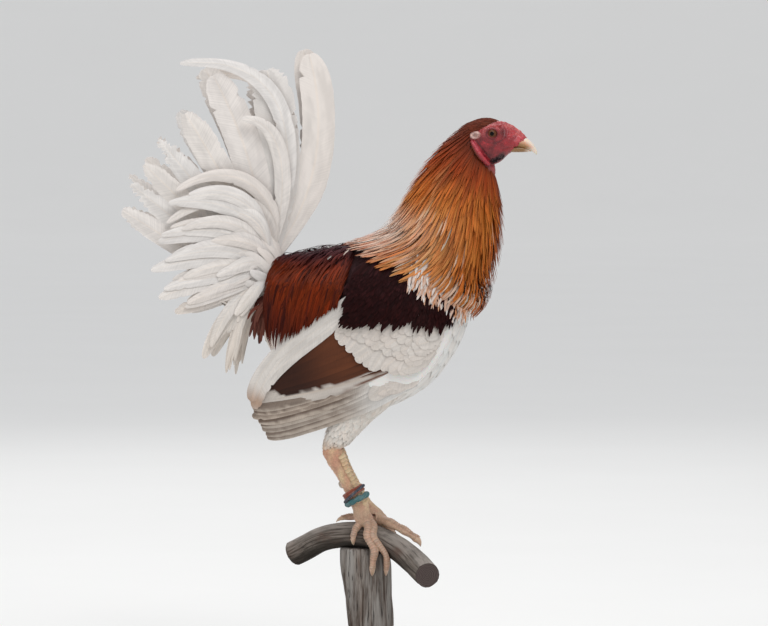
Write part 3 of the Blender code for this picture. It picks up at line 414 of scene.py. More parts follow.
def kept(tree, name):
    """What was kept on the mesh under that name, for its finish."""
    return put(
        tree, "ShaderNodeAttribute", attribute_name=name,
    ).outputs["Color" if name == "plume" else "Vector"]


spots = np.linspace(0, 9, 181)
route = limb_frame(spots)[0]


def in_limb(points):
    """The way to each point from the limb's middle line, its parts up and near, and its run along the limb."""
    nearest = np.argmin(((points[:, None, :] - route) ** 2).sum(-1), 1)
    centre, _, up, near = limb_frame(spots[nearest])
    out = points - centre
    return out, (out * up).sum(-1), (out * near).sum(-1), nearest * 1.15


rings = limb_at(np.linspace(0.12, 9.0, 170)[:, None], round_turn(56))
nose = [rings[0] * share + rings[0].mean(0) * (1 - share) - limb_frame(0.12)[1] * reach
        for share, reach in ((0.45, 4.6), (0.72, 3.6), (0.9, 1.8))]
limb = closed_form("limb", np.concatenate([nose, rings]))
points = co_of(limb)
out, high, aside, run = in_limb(points)
around = np.arctan2(aside, high)
grain = np.stack([np.cos(around) * LIMB_RADIUS, np.sin(around) * LIMB_RADIUS, run], -1)
relief = rough_noise(grain * (1.0, 1.0, 0.10), 0.32) * 0.55 + rough_noise(
    grain * (1.0, 1.0, 0.07), 0.95, 5.0,
) * 0.3
knots = np.zeros(len(points))
for s, angle, height, size in ((1.6, 1.9, 1.3, 7.0), (6.9, 1.2, 0.8, 5.0), (2.9, -0.9, 1.0, 6.0)):
    knots += height * np.exp(-((points - limb_at(s, angle)) ** 2).sum(-1) / size ** 2)
set_co(limb, points + unit(out) * (relief + knots)[:, None])
bpy.ops.object.mode_set(mode="EDIT")
bpy.ops.mesh.select_all(action="SELECT")
bpy.ops.mesh.bisect(plane_co=LIMB_CUT_AT, plane_no=LIMB_CUT_NORMAL, use_fill=True, clear_outer=True)
bpy.ops.mesh.inset(thickness=0.5 * MM)
bpy.ops.mesh.poke()
bpy.ops.mesh.subdivide(number_cuts=3)
bpy.ops.object.mode_set(mode="OBJECT")
keep(limb, "grain", np.stack(in_limb(co_of(limb))[1:], -1))

wood, tree, shader = finish("perch_weathered", 0.86, Specular_IOR_Level=0.25)
fibre = kept(tree, "grain")
strands = cloud(tree, fibre, 0.55, 5.0, 0.65, (1.0, 1.0, 0.045))
cracks = cloud(tree, fibre, 1.5, 3.0, 0.6, (1.0, 1.0, 0.03))
stains = cloud(tree, place_on(tree), 46.0, 4.0, 0.6)
facing = put(tree, "ShaderNodeNewGeometry").outputs["Normal"]
upward = parts_of(tree, facing)["Z"]
greys = layered(
    tree, (0.060, 0.047, 0.038), (strands, 0.35, 0.65, 1.0, (0.225, 0.19, 0.162)),
    (stains, 0.45, 0.7, 0.75, (0.118, 0.072, 0.056)),
)
# Paler where the limb faces up, patchy with the stains, and darker where it faces down as painted shade.
paler_mask = maths(tree, "MULTIPLY", spread(tree, upward, 0.2, 0.95), spread(tree, stains, 0.3, 0.6, 0.35, 1.0))
greys = layered(
    tree, mixed(tree, paler_mask, greys, (0.36, 0.32, 0.285)), (cracks, 0.60, 0.70, 0.85, (0.020, 0.014, 0.012)),
    (upward, 0.05, -0.75, 0.85, (0.030, 0.026, 0.021)),
)
# The sawn end is darker, with rings and short rays.
cut_way = put(tree, "ShaderNodeVectorMath", {0: facing, 1: tuple(LIMB_CUT_NORMAL)}, operation="DOT_PRODUCT")
flat = vector_of(tree, *parts_of(tree, fibre)[:2])
from_pith = put(tree, "ShaderNodeVectorMath", {0: flat}, operation="LENGTH").outputs["Value"]
wobble = maths(tree, "ADD", from_pith, maths(tree, "MULTIPLY", cloud(tree, flat, 0.12), 3.0))
year = maths(tree, "SINE", maths(tree, "MULTIPLY", wobble, 3.4))
ends = layered(
    tree, (0.050, 0.036, 0.034), (year, -0.6, 0.9, 1.0, (0.135, 0.100, 0.092)),
    (cloud(tree, flat, 0.9, 4.0), 0.5, 0.7, 0.5, (0.20, 0.165, 0.15)),
)
feed(tree, shader, mixed(tree, spread(tree, cut_way.outputs["Value"], 0.93, 0.97), greys, ends))
bumped(tree, shader, maths(tree, "SUBTRACT", strands, spread(tree, cracks, 0.58, 0.70)), 1.0, 0.9)
settle(limb, "perch_limb_wood", wood, "perch_wood", "perch_limb")

turns = round_turn(96)
rings = []
for t in np.linspace(0, 1, 60):
    radius = through(np.array(POST_RADII)[:, None], t * 5)[0]
    across = radius * (1 + 0.05 * np.sin(3 * turns + 1) + 0.03 * np.sin(7 * turns + 2 * t))
    deep = radius * (1 + 0.04 * np.sin(2 * turns) + 0.02 * np.sin(5 * turns))
    x, y = POST_LEAN * (0.5 - t) + across * np.cos(turns), POST_Y + deep * np.sin(turns)
    rings.append(np.stack([x, y, turns * 0 + (POST_BOTTOM + (POST_TOP - POST_BOTTOM) * t)], -1))
post = closed_form("post", rings)
points = co_of(post)
out = points - (0, POST_Y, 0)
out[:, 2] = 0
turned = np.arctan2(out[:, 1], out[:, 0])
relief = rough_noise(points * (1, 1, 0.05), 0.16) * 1.3 + rough_noise(points * (1, 1, 0.06), 0.5, 3.0) * 0.6
edge = np.clip((points[:, 2] - (POST_TOP - 2.5)) / 2.5, 0, 1)
chips = edge * (0.8 + rough_noise(points, 0.11, 9.0) * 2.0)
# A long split runs down the side that faces the camera.
split = bell(
    turned + 1.25 - 0.05 * np.sin(points[:, 2] * 0.08), 0.035,
) * np.clip((points[:, 2] - 60) / 40, 0.15, 1)
points += unit(out) * (relief - np.maximum(chips, 0) - 2.2 * split)[:, None]
points[:, 2] -= edge * np.abs(rough_noise(points, 0.2, 4.0)) * 1.6
set_co(post, points)
room = closed_form("room", limb_at(np.linspace(2.0, 6.5, 60)[:, None], round_turn(32), GAP + 0.25))
apply_modifier(post, "BOOLEAN", operation="DIFFERENCE", object=room, solver="MANIFOLD")
bpy.data.objects.remove(room)
timber, tree, shader = finish("post_weathered", 0.9, Specular_IOR_Level=0.2)
strands = cloud(tree, place_on(tree), 260.0, 6.0, 0.68, (1.0, 1.0, 0.06))
streaks = cloud(tree, place_on(tree), 90.0, 4.0, 0.6, (1.0, 1.0, 0.10))
cracks = cloud(tree, place_on(tree), 620.0, 3.0, 0.6, (1.0, 1.0, 0.035))
feed(tree, shader, layered(
    tree, (0.085, 0.062, 0.049), (strands, 0.36, 0.64, 1.0, (0.30, 0.265, 0.235)),
    (streaks, 0.5, 0.66, 0.8, (0.36, 0.34, 0.315)), (streaks, 0.47, 0.34, 0.7, (0.13, 0.078, 0.055)),
    (cracks, 0.60, 0.68, 0.9, (0.018, 0.013, 0.011)),
))
bumped(tree, shader, maths(tree, "SUBTRACT", strands, spread(tree, cracks, 0.58, 0.68)), 1.4, 0.9)
settle(post, "perch_post_timber", timber, "perch_wood", "perch_post")

# Skin
# One skin over head, neck, body, tail stump, the arms of the folded wings, legs and feet. It
# lies under the plumage by the depth of the coat, and is bare on the face, shanks and feet.

TORSO_SECTIONS = (
    ((-88, 446), (-110, 398), 17, 0.0), ((-72, 449), (-110, 364), 33, 0.05),
    ((-52, 453), (-82, 322), 45, 0.08),
    ((-25, 459), (-38, 291), 53, 0.08), ((2, 463), (0, 281), 58, 0.06), ((28, 466), (34, 291), 60, 0.04),
    ((42, 470), (71, 313), 58, 0.02), ((46, 473), (96, 345), 52, 0.0), ((48, 478), (111, 378), 47, 0.0),
    ((50, 480), (114, 406), 43, 0.0),
)
NECK_SECTIONS = (
    ((107, 589), (137, 549.5), 15.5), ((89, 567), (141, 537), 19), ((71, 541), (142, 516), 24),
    ((57, 516), (140, 494), 30), ((50, 497), (133, 456), 37), ((50, 480), (114, 406), 43),
    ((20, 467), (122, 392), 59), ((-8, 461), (115, 380), 62),
)
HEAD_SECTIONS = (
    ((107, 589), (137, 549.5), 15.5), ((115, 595), (142, 550), 16.4), ((125, 598.5), (147, 552.5), 16.8),
    ((135, 599), (150.5, 555.5), 16.3), ((145, 597), (153, 558), 14.8), ((154, 592), (155, 560), 12.6),
    ((165, 585.5), (156, 561), 10.3), ((174, 579), (157, 561.5), 8.4),
)
TAIL_CORE = (
    ((-88, 446), (-110, 398), 17), ((-94, 464), (-124, 392), 21), ((-108, 480), (-146, 395), 22),
    ((-126, 484), (-166, 410), 18), ((-144, 480), (-176, 430), 11),
)
TAIL_CORE_END = (-168, 0, 458)
EYE, EYE_RADIUS = np.array((139.8, 11.0, 583.2)), 6.3
# how many millimetres across the skin's faces are
FACE_GRAIN, BODY_GRAIN, LEG_GRAIN = 0.68, 2.6, 0.97
HOCKS = {-1: np.array((-33.0, -28.0, 243.0)), 1: np.array((-41.0, 28.0, 243.0))}
ANKLES = {-1: np.array((-3.0, -14.5, 181.0)), 1: np.array((-5.0, 14.5, 181.0))}
HOCK_NORMAL, ANKLE_NORMAL = (0.12, 0.0, -0.99), (0.48, 0.0, -0.87)
THIGH_SECTIONS = ((112, 31, 18), (84, 33, 20), (52, 23, 17), (30, 17.5, 14), (14, 14, 11.5))
SHANK_STEPS = ((0.16, 10.5, 9.0), (0.4, 8.2, 7.4), (0.62, 7.8, 7.0), (0.82, 8.0, 7.3))
FOOT_HUBS = {-1: (4.14, 27.0), 1: (4.5, -27.0)}
# Toes: radius, then (along the limb, degrees round it) where they grip, then places where they hang
TOES = {
    -1: {
        "hallux": (4.4, ((4.05, 22), (3.75, 4), (3.45, 2), (3.2, 12)), ()),
        "outer": (4.8, ((4.15, 34), (4.0, 62), (3.92, 84), (3.9, 98)), ()),
        "middle": (
            5.8, ((4.3, 30), (4.55, 58), (4.72, 84)),
            ((13.5, -26.0, 134), (12.5, -25.8, 124), (11.5, -25.2, 114)),
        ),
        "inner": (
            5.0, ((4.4, 22), (4.8, 44), (5.08, 76)),
            ((25, -24.5, 131), (26.5, -20.5, 121), (25.5, -18.0, 112)),
        ),
    },
    1: {
        "hallux": (4.4, ((4.4, -22), (4.15, -44), (3.95, -70), (3.9, -84)), ()),
        "outer": (4.8, ((4.5, -36), (4.55, -62), (4.5, -86)), ()),
        "middle": (5.8, ((4.8, -16), (5.3, -6), (5.9, -12), (6.35, -32)), ()),
        "inner": (5.0, ((4.75, -34), (5.05, -62), (5.3, -92), (5.4, -120)), ()),
    },
}


class Form:
    """A soft body form, seen as rings between a line on its back and one under it.

    A section is its top, its bottom, half its width and how much fuller it is below.
    """

    def __init__(self, sections, squareness=2.25):
        self.rows = np.array(
            [(*top, *low, half, *(belly or (0.0,))) for top, low, half, *belly in sections], float,
        )
        self.power = 2.0 / squareness


class Form:
    """A soft body form, seen as rings between a line on its back and one under it."""

    def __init__(self, sections, squareness=2.25):
        self.rows = np.array(
            [[*top, *low, half, *(belly or (0,))] for top, low, half, *belly in sections], float,
        )
        self.power = 2.0 / squareness

    def at(self, s, angle, grow=0.0):
        """The surface at s, where angle is 0 on the back and grows towards the right side."""
        s, angle, grow = np.broadcast_arrays(*(np.asarray(v, float) for v in (s, angle, grow)))
        row = through(self.rows, s)
        top, low = row[..., 0:2], row[..., 2:4]
        middle, reach = (top + low) / 2, (top - low) / 2
        reach = reach * (1 + grow / np.linalg.norm(reach, axis=-1))[..., None]
        c, d = np.cos(angle), np.sin(angle)
        up = np.sign(c) * np.abs(c) ** self.power
        side = np.sign(d) * np.abs(d) ** self.power * (1 - row[..., 5] * up)
        return np.stack([
            middle[..., 0] + reach[..., 0] * up, -(row[..., 4] + grow) * side,
            middle[..., 1] + reach[..., 1] * up,
        ], -1)

    def normal(self, s, angle):
        """Points away from the form at s and angle."""
        s = np.clip(np.asarray(s, float), 0.05, len(self.rows) - 1.05)
        along = self.at(s + 0.04, angle) - self.at(s - 0.04, angle)
        around = self.at(s, angle + 0.04) - self.at(s, angle - 0.04)
        out = unit(np.cross(along, around))
        middle = (self.at(s, 0.0) + self.at(s, math.pi)) / 2
        return out * np.sign((out * (self.at(s, angle) - middle)).sum(-1))[..., None]

    def locate(self, points):
        """The s of the nearest section, and the height from -1 under the form to 1 on its back."""
        stops = np.linspace(0, len(self.rows) - 1, 160)
        row = through(self.rows, stops)
        flat = points[:, [0, 2]]
        middle, reach = (row[:, 0:2] + row[:, 2:4]) / 2, (row[:, 0:2] - row[:, 2:4]) / 2
        size = np.linalg.norm(reach, axis=1)
        off = flat[:, None, :] - middle[None]
        height = (off * reach[None]).sum(-1) / size ** 2
        aside = np.abs(off[..., 0] * reach[None, :, 1] - off[..., 1] * reach[None, :, 0]) / size
        best = np.argmin(aside + 12 * np.maximum(np.abs(height) - 1.3, 0), 1)
        return stops[best], height[np.arange(len(points)), best]


class Stack:
    """A limb's form: ovals square to a line, each with its front and its two radii."""

    def __init__(self, centres, normals, fronts, radii):
        self.rows = np.concatenate([np.asarray(part, float) for part in (centres, normals, fronts, radii)], 1)

    def frame(self, s):
        row = through(self.rows, s)
        normal = unit(row[..., 3:6])
        ahead = row[..., 6:9]
        ahead = unit(ahead - normal * (ahead * normal).sum(-1, keepdims=True))
        return row, ahead, np.cross(normal, ahead)

    def at(self, s, angle, grow=0.0):
        s, angle, grow = np.broadcast_arrays(*(np.asarray(v, float) for v in (s, angle, grow)))
        row, ahead, across = self.frame(s)
        fore, side = (row[..., 9] + grow) * np.cos(angle), (row[..., 10] + grow) * np.sin(angle)
        return row[..., :3] + ahead * fore[..., None] + across * side[..., None]

    def normal(self, s, angle):
        s, angle = np.broadcast_arrays(np.asarray(s, float), np.asarray(angle, float))
        row, ahead, across = self.frame(s)
        fore, side = row[..., 10] * np.cos(angle), row[..., 9] * np.sin(angle)
        return unit(ahead * fore[..., None] + across * side[..., None])


def on_limb(along, around, away):
    """A place off the limb, and the way out from it: around is in degrees from its top."""
    centre, _, up, near = limb_frame(along)
    out = up * math.cos(math.radians(around)) + near * math.sin(math.radians(around))
    return centre + out * (LIMB_RADIUS * 1.03 + away), out


def toe_form(side, toe):
    """A toe from the foot's pad to its claw, swollen at each joint."""
    radius, wraps, hangs = TOES[side][toe]
    spots = [on_limb(along, around, radius + GAP + 0.15) for along, around in wraps]
    centres = np.array([p for p, _ in spots] + [np.array(p, float) for p in hangs])
    outs = np.array([o for _, o in spots] + [np.array((0.0, side, 0.0)) for _ in hangs])
    stops = np.linspace(0, len(centres) - 1, 25)
    path, fronts = through(centres, stops), through(outs, stops)
    t = np.linspace(0, 1, 25)
    joints = {"hallux": 1.5, "outer": 3.0, "middle": 3.0, "inner": 2.5}[toe]
    wide = radius * (1 - 0.36 * t + 0.075 * np.cos(2 * math.pi * joints * t))
    return Stack(path, np.gradient(path, axis=0), fronts, np.stack([wide, wide * 0.98], 1))


def shank_form(side):
    hock, ankle = HOCKS[side], ANKLES[side]
    centres = [hock] + [hock + (ankle - hock) * share for share, _, _ in SHANK_STEPS] + [ankle]
    radii = [(12.0, 10.0)] + [(fore, across) for _, fore, across in SHANK_STEPS] + [(9.0, 8.0)]
    return Stack(centres, [HOCK_NORMAL] + [ANKLE_NORMAL] * 5, [(1, 0, 0)] * 6, radii)


def thigh_form(side):
    rise = unit(np.array((0.515, side * 0.04, 0.857)))
    centres = [HOCKS[side] + rise * height for height, _, _ in THIGH_SECTIONS] + [HOCKS[side]]
    radii = [(fore, across) for _, fore, across in THIGH_SECTIONS] + [(12.0, 10.0)]
    return Stack(centres, [-rise] * 5 + [HOCK_NORMAL], [(1, 0, 0)] * 6, radii)


TORSO, NECK = Form(TORSO_SECTIONS), Form(NECK_SECTIONS, 2.1)
HEAD, STUMP = Form(HEAD_SECTIONS, 2.15), Form(TAIL_CORE, 2.0)
SHANKS = {side: shank_form(side) for side in (-1, 1)}
THIGHS = {side: thigh_form(side) for side in (-1, 1)}


def rings_of(form, first, last, stops, count, grow):
    s = np.linspace(first, last, stops)[:, None]
    return form.at(s, round_turn(count)[None, :], grow)


def lump(x, y, z, radii, turn=0.0):
    """A rounded swelling, turned about Y by an angle in degrees."""
    bpy.ops.object.select_all(action="DESELECT")
    bpy.ops.mesh.primitive_uv_sphere_add(segments=24, ring_count=16, radius=1.0)
    swelling = bpy.context.object
    points = co_of(swelling) * MM * radii
    c, s = math.cos(math.radians(turn)), math.sin(math.radians(turn))
    turned = np.stack(
        [points[:, 0] * c + points[:, 2] * s, points[:, 1], points[:, 2] * c - points[:, 0] * s], 1,
    )
    set_co(swelling, turned + (x, y, z))
    return swelling


def fold(spots, radii, flat=1.0):
    """A fold of skin along a few places."""
    s = np.linspace(0, len(spots) - 1, 28)
    path, wide = through(np.array(spots, float), s), through(np.array(radii, float)[:, None], s)
    line = Stack(path, np.gradient(path, axis=0), [(0, 1, 0.2)] * 28, np.concatenate([wide * flat, wide], 1))
    return closed_form("fold", rings_of(line, 0, 27, 40, 16, 0.0))


def closed_loop(name, rows):
    """A tube that closes on itself, through rings of points."""
    count, round_it = rows.shape[:2]
    k, j = np.meshgrid(np.arange(count), np.arange(round_it), indexing="ij")
    after_k, after_j = (k + 1) % count * round_it, (j + 1) % round_it
    corners = np.stack([k * round_it + j, k * round_it + after_j, after_k + after_j, after_k + j], -1)
    return faced_outwards(mesh_piece(name, rows, corners.reshape(-1, 4).tolist()))


def rim(centre, wide, tall, thick, deep):
    """An oval ring of skin on the side of the head."""
    turn, around = round_turn(48), round_turn(12)
    out = np.stack([np.cos(turn), turn * 0, np.sin(turn)], 1)
    middle = np.array(centre, float) + np.stack([np.cos(turn) * wide, turn * 0, np.sin(turn) * tall], 1)
    rows = middle[:, None] + out[:, None] * (thick * np.cos(around))[:, None]
    rows[..., 1] += deep * np.sin(around)
    return closed_loop("rim", rows)


def flesh(parts, grain, rounds):
    """Joins overlapping parts to one surface of even faces, so many millimetres across, and softens it."""
    pick(*parts)
    bpy.ops.object.join()
    apply_modifier(parts[0], "REMESH", mode="VOXEL", voxel_size=grain * MM)
    return apply_modifier(parts[0], "SMOOTH", factor=0.5, iterations=rounds)


def soft(values, low, high):
    t = np.clip((values - low) / (high - low), 0, 1)
    return t * t * (3 - 2 * t)


def toward(first, second, share):
    return first + (second - first) * np.asarray(share)[..., None]


def laid(colour, *layers):
    """Lays colours over a first one, each by its share."""
    for over, share in layers:
        colour = toward(colour, over, share)
    return colour


def wing_sheet(x, z):
    """How far the outside of the folded wing stands from the middle plane."""
    rise = (z - 352.0) / 150.0
    across = np.sqrt(np.maximum(0.05, 1 - rise * rise))
    rear = soft(50.0 - x, 0.0, 175.0)
    front = np.maximum(0.0, (x - 58.0) / 50.0)
    return 73.0 * across * (1 - 0.22 * rear) - 34.0 * front * front


def wing_arm(side):
    """The arm of a folded wing, a thick pad under its coverts."""
    stations = (
        (99, 372, 394, 40), (90, 350, 408, 40), (64, 316, 420, 34), (34, 306, 423, 32), (8, 312, 422, 28),
        (-14, 332, 414, 19), (-28, 356, 402, 12),
    )
    rings = []
    for x, low, high, deep in through(np.array(stations, float), np.linspace(0, 6, 24)):
        share = np.linspace(0, 1, 9)
        z = low + (high - low) * share
        crown = np.sin(math.pi * (share * 8 + 0.35) / 8.7)
        outer = wing_sheet(x, z) - 3.2 - 5.0 * (1 - crown)
        inner = wing_sheet(x, z) - 5.0 - deep * (0.5 + 0.5 * crown)
        y, z = np.concatenate([outer, inner[::-1]]), np.concatenate([z, z[::-1]])
        rings.append(np.stack([y * 0 + x, side * y, z], 1))
    return closed_form("arm", rings)


# Colours of skin and plumage, as shares of red, green and blue light
WHITE, CREAM, BUFF = np.array((0.80, 0.78, 0.75)), np.array((0.76, 0.70, 0.63)), np.array((0.66, 0.50, 0.38))
CROWN, RUST = np.array((0.125, 0.022, 0.008)), np.array((0.30, 0.047, 0.008))
ORANGE, GOLD = np.array((0.52, 0.145, 0.022)), np.array((0.72, 0.38, 0.15))
MAROON, PLUM = np.array((0.023, 0.0040, 0.0040)), np.array((0.072, 0.021, 0.024))
MAHOGANY, BAY = np.array((0.115, 0.016, 0.0032)), np.array((0.125, 0.044, 0.017))
CRIMSON, WINE, PINK = np.array((0.37, 0.022, 0.030)), np.array(
    (0.115, 0.010, 0.013),
), np.array((0.60, 0.14, 0.13))
LEG_YELLOW, LEG_PINK = np.array((0.74, 0.55, 0.33)), np.array((0.62, 0.33, 0.22))
FOOT_PINK = np.array((0.50, 0.32, 0.24))


def neck_colour(s, height):
    """The neck's colour from head to shoulders, with its height from throat to nape."""
    return laid(
        CROWN, (RUST, soft(s, 0.2, 1.6)), (ORANGE, soft(s, 1.3, 3.2) * soft(height, -1.15, -0.85)),
        (GOLD, soft(s, 2.6, 5.0) * soft(height, -0.8, 0.2) * 0.5),
        (CREAM, soft(s, 3.0, 5.2) * soft(height, 0.35, 0.9) * 0.88),
    )


def markings(points):
    """The bird's colours at places on it: skin and coat both take theirs here."""
    x, y, z = points.T
    torso_s, torso_h = TORSO.locate(points)
    neck_s, neck_h = NECK.locate(points)
    shoulder = soft(np.abs(y), 30, 36) * soft(z, 374, 380) * soft(-z, -440, -432)
    return laid(
        WHITE,
        (toward(MAHOGANY, PLUM, soft(torso_h, 0.7, 0.97)), soft(torso_h, 0.15, 0.45) * soft(x, -92.0, -84.0)),
        (MAROON, shoulder * soft(x, -24, -18) * soft(-x, -106, -98)),
        (neck_colour(neck_s, neck_h), soft((x - 50) * 0.756 + (z - 480) * 0.654, -6.0, 4.0)),
        (LEG_PINK, soft(-z, -252.0, -240.0)),
    )


def bare_face(points):
    """1 where the face has no feathers."""
    x, z = points[:, 0], points[:, 2]
    brow = soft(583.0 + (x - 117.0) * 0.5 - z, -1.0, 1.0)
    jaw = soft(x - 116.0 - np.maximum(0, 575.0 - z) * 0.6, -0.8, 0.8)
    return brow * jaw * soft(z - 547.5 + 0.9 * np.maximum(0, x - 133.0), -1.5, 1.5)


def on_jaw(x, z):
    """Distances along the jaw's lower edge and off it."""
    return (x - 139.5) * 0.83 + (z - 551.0) * 0.56, -(x - 139.5) * 0.56 + (z - 551.0) * 0.83


def face_colour(points):
    """The bare face: crimson, with painted shade in its creases, a painted highlight on the jaw fold, pink on
    the comb and round the eye.
    """
    x, _, z = points.T
    wander, fine = rough_noise(points, 0.16), rough_noise(points, 0.62, 8.0)
    dusk = 0.45 + 0.30 * soft(-z, -576, -560) - 0.25 * soft(x, 152, 165)
    round_eye = np.hypot(x - EYE[0], z - EYE[2])
    crease = z - np.interp(x, (128, 134, 141, 148, 155), (578.5, 574.0, 572.8, 575.0, 580.0))
    comb = soft((z - 592.5) + (x - 150.0) * 0.68, -3.0, 1.5)
    down = (x - 117.5) * 0.61 + (z - 575.5) * -0.79
    aside = (x - 117.5) * 0.79 + (z - 575.5) * 0.61
    on_fold = soft(down, -1.0, 3.0) * soft(-down, -34.0, -29.0)
    along_jaw, off_jaw = on_jaw(x, z)
    bristly = np.exp(-((along_jaw - 9.0) / 8.5) ** 4 - ((off_jaw - 1.2) / 3.0) ** 2)
    gape = soft(571.0 - z + (x - 160) * 0.2, 0.0, 3.0) * soft(x, 150.0, 158.0)
    ear = np.hypot((x - 121.6) / 5.3, (z - 581.5) / 3.8)
    colour = laid(
        CRIMSON, (WINE, np.clip(dusk + 0.8 * wander, 0, 1) * 0.9),
        (PINK, 0.38 * bell(round_eye - 9.0, 2.2) * soft(z, 576.0, 588.0)),
        # Painted shade in the crease under the eye.
        (WINE * 0.5, 0.6 * bell(crease, 0.8) * soft(x, 127, 132) * soft(-x, -156, -149)),
        (WINE * 0.5, 0.7 * bell(round_eye - 5.6, 1.1)), (WINE * 0.8, 0.8 * bell(x - 150, 4.0, z - 584, 4.5)),
        (PINK, comb * np.clip(0.42 + 0.8 * wander, 0, 1)), (WINE, 0.6 * bell(x - 133, 9.0, z - 563, 5.0)),
        # The jaw fold is the brightest red, with a painted pink highlight along its ridge, and painted shade
        # in the crease that parts it from the cheek.
        (CRIMSON * (1.25, 1.6, 1.7), on_fold * bell(aside - 0.6, 2.4) * 0.95),
        (PINK * (0.9, 0.6, 0.95), on_fold * bell(aside - 1.2, 0.9) * soft(-down, -24.0, -8.0) * 0.5),
        (WINE * 0.4, on_fold * bell(aside - 4.2, 0.8) * 0.85),
        # Under the jaw the skin is dark and carries black bristles, and it pales towards the throat.
        (np.array((0.022, 0.012, 0.014)), bristly * np.clip(0.72 + 0.6 * fine, 0, 0.95)),
        (PINK * 0.6, soft(549.0 - z, 0.0, 5.0) * 0.6), (CRIMSON * (0.9, 1.6, 1.2), gape * 0.5),
        (PINK * (1.05, 0.75, 0.95), bell(x - 168.0, 4.5, z - 576.5, 3.6) * 0.75),
        ((0.58, 0.39, 0.34), soft(-ear, -1.30, -1.02) * (1 - 0.65 * soft(x - 0.8 * (z - 581.5), 122, 128))),
        ((0.24, 0.13, 0.105), soft(-ear, -0.74, -0.30) * 0.85),
    )
    return colour * (1 + 0.25 * fine)[:, None]


head_parts = [
    closed_form("head", rings_of(HEAD, 0.0, 7.0, 60, 72, -0.4)),
    closed_form("nape", rings_of(NECK, 0.0, 1.1, 12, 72, -1.6)),
    lump(147, 0, 562.5, (7, 4.0, 3.0), 18), lump(165, 0, 578.5, (8.5, 4.0, 4.6), 40),
    lump(135.2, 0, 545, (6.2, 7.0, 11.0), -12), lump(171.4, 0, 577.6, (3.2, 6.4, 3.6), 38),
]
# the comb's low points, from the crown to the beak: place and size
for x, z, swell in (
    (149, 593.4, 2.4), (152.5, 592.4, 3.1), (156, 590.4, 3.3), (159.5, 588.4, 3.7), (163, 586.0, 3.5),
    (166.5, 583.2, 3.8), (170, 580.2, 3.5), (172.6, 577.6, 2.9),
):
    head_parts.append(lump(x, 0.0, z, (4.3, swell * 0.95, swell), 38))
for side in (-1, 1):
    lower_lid = (
        (128, side * 15.2, 577.5), (134, side * 15.3, 574.3), (141, side * 14.6, 573.6),
        (148, side * 12.8, 576),
    )
    jaw_fold = (
        (117.5, side * 15.6, 575.5), (121.5, side * 18.2, 568), (128.0, side * 18.2, 558.4),
        (136.4, side * 13.4, 549.4),
    )
    head_parts += [
        rim((EYE[0], side * 14.9, EYE[2]), 6.3, 5.3, 1.15, 1.5),
        rim((EYE[0] + 0.6, side * 13.4, EYE[2]), 9.4, 7.0, 1.2, 1.3),
        lump(141, side * 12.4, 591.0, (9.5, 2.6, 2.2), -10), fold(lower_lid, (0.6, 1.1, 1.1, 0.6)),
        lump(134, side * 12.6, 567.5, (7.5, 3.4, 6), 30), lump(149, side * 10.4, 571.5, (8, 2.8, 4.4), 0),
        rim((121.6, side * 16.3, 581.5), 4.6, 3.0, 1.3, 1.5),
        lump(121.6, side * 15.2, 581.5, (4.2, 2.3, 2.8), 10),
        fold(jaw_fold, (1.8, 2.9, 3.2, 2.2), 0.85),
        lump(169.0, side * 6.0, 577.2, (4.6, 2.5, 3.0), 35),
        lump(162.5, side * 7.6, 573.0, (5.5, 2.6, 3.6), 20),
    ]
face = flesh(head_parts, FACE_GRAIN, 4)
points = co_of(face)
normals = np.empty(len(points) * 3, np.float32)
face.data.vertices.foreach_get("normal", normals)
normals = normals.reshape(-1, 3)
x, y, z = points.T
bare = bare_face(points)
gape = np.interp(x, (149, 158, 166), (565.6, 567.4, 568.3))
raise_by = -1.0 * bell(z - gape, 0.8) * soft(x, 147.5, 151) * soft(np.abs(y), 4, 6)
across, along = (x - 170.2) * 0.574 + (z - 575.8) * 0.819, (x - 170.2) * 0.819 - (z - 575.8) * 0.574
raise_by -= 1.5 * bell(across, 0.75, along, 2.1) * soft(np.abs(y), 5, 6.5)
round_eye = np.hypot(x - EYE[0], z - EYE[2])
raise_by += bare * 0.22 * np.cos(round_eye * 2.3) * bell(round_eye - 12, 4.5)
calm = 1 - 0.85 * soft(x + 0.6 * (575 - z), 166, 171)
raise_by += bare * calm * (0.20 * rough_noise(points, 0.75) + 0.32 * rough_noise(points, 0.30, 4.0))
# Where the black bristles under the jaw grow, with the way out of the skin there
jaw_run, jaw_off = on_jaw(x, z)
bristly = np.exp(-((jaw_run - 9.0) / 9.0) ** 4 - ((jaw_off - 1.6) / 3.2) ** 2) * soft(np.abs(y), 1.5, 4.0)
bristle_roots = np.random.default_rng(5).choice(np.flatnonzero(bristly > 0.45), 330, replace=False)
bristle_places, bristle_outs = points[bristle_roots], normals[bristle_roots]
set_co(face, points + normals * raise_by[:, None])

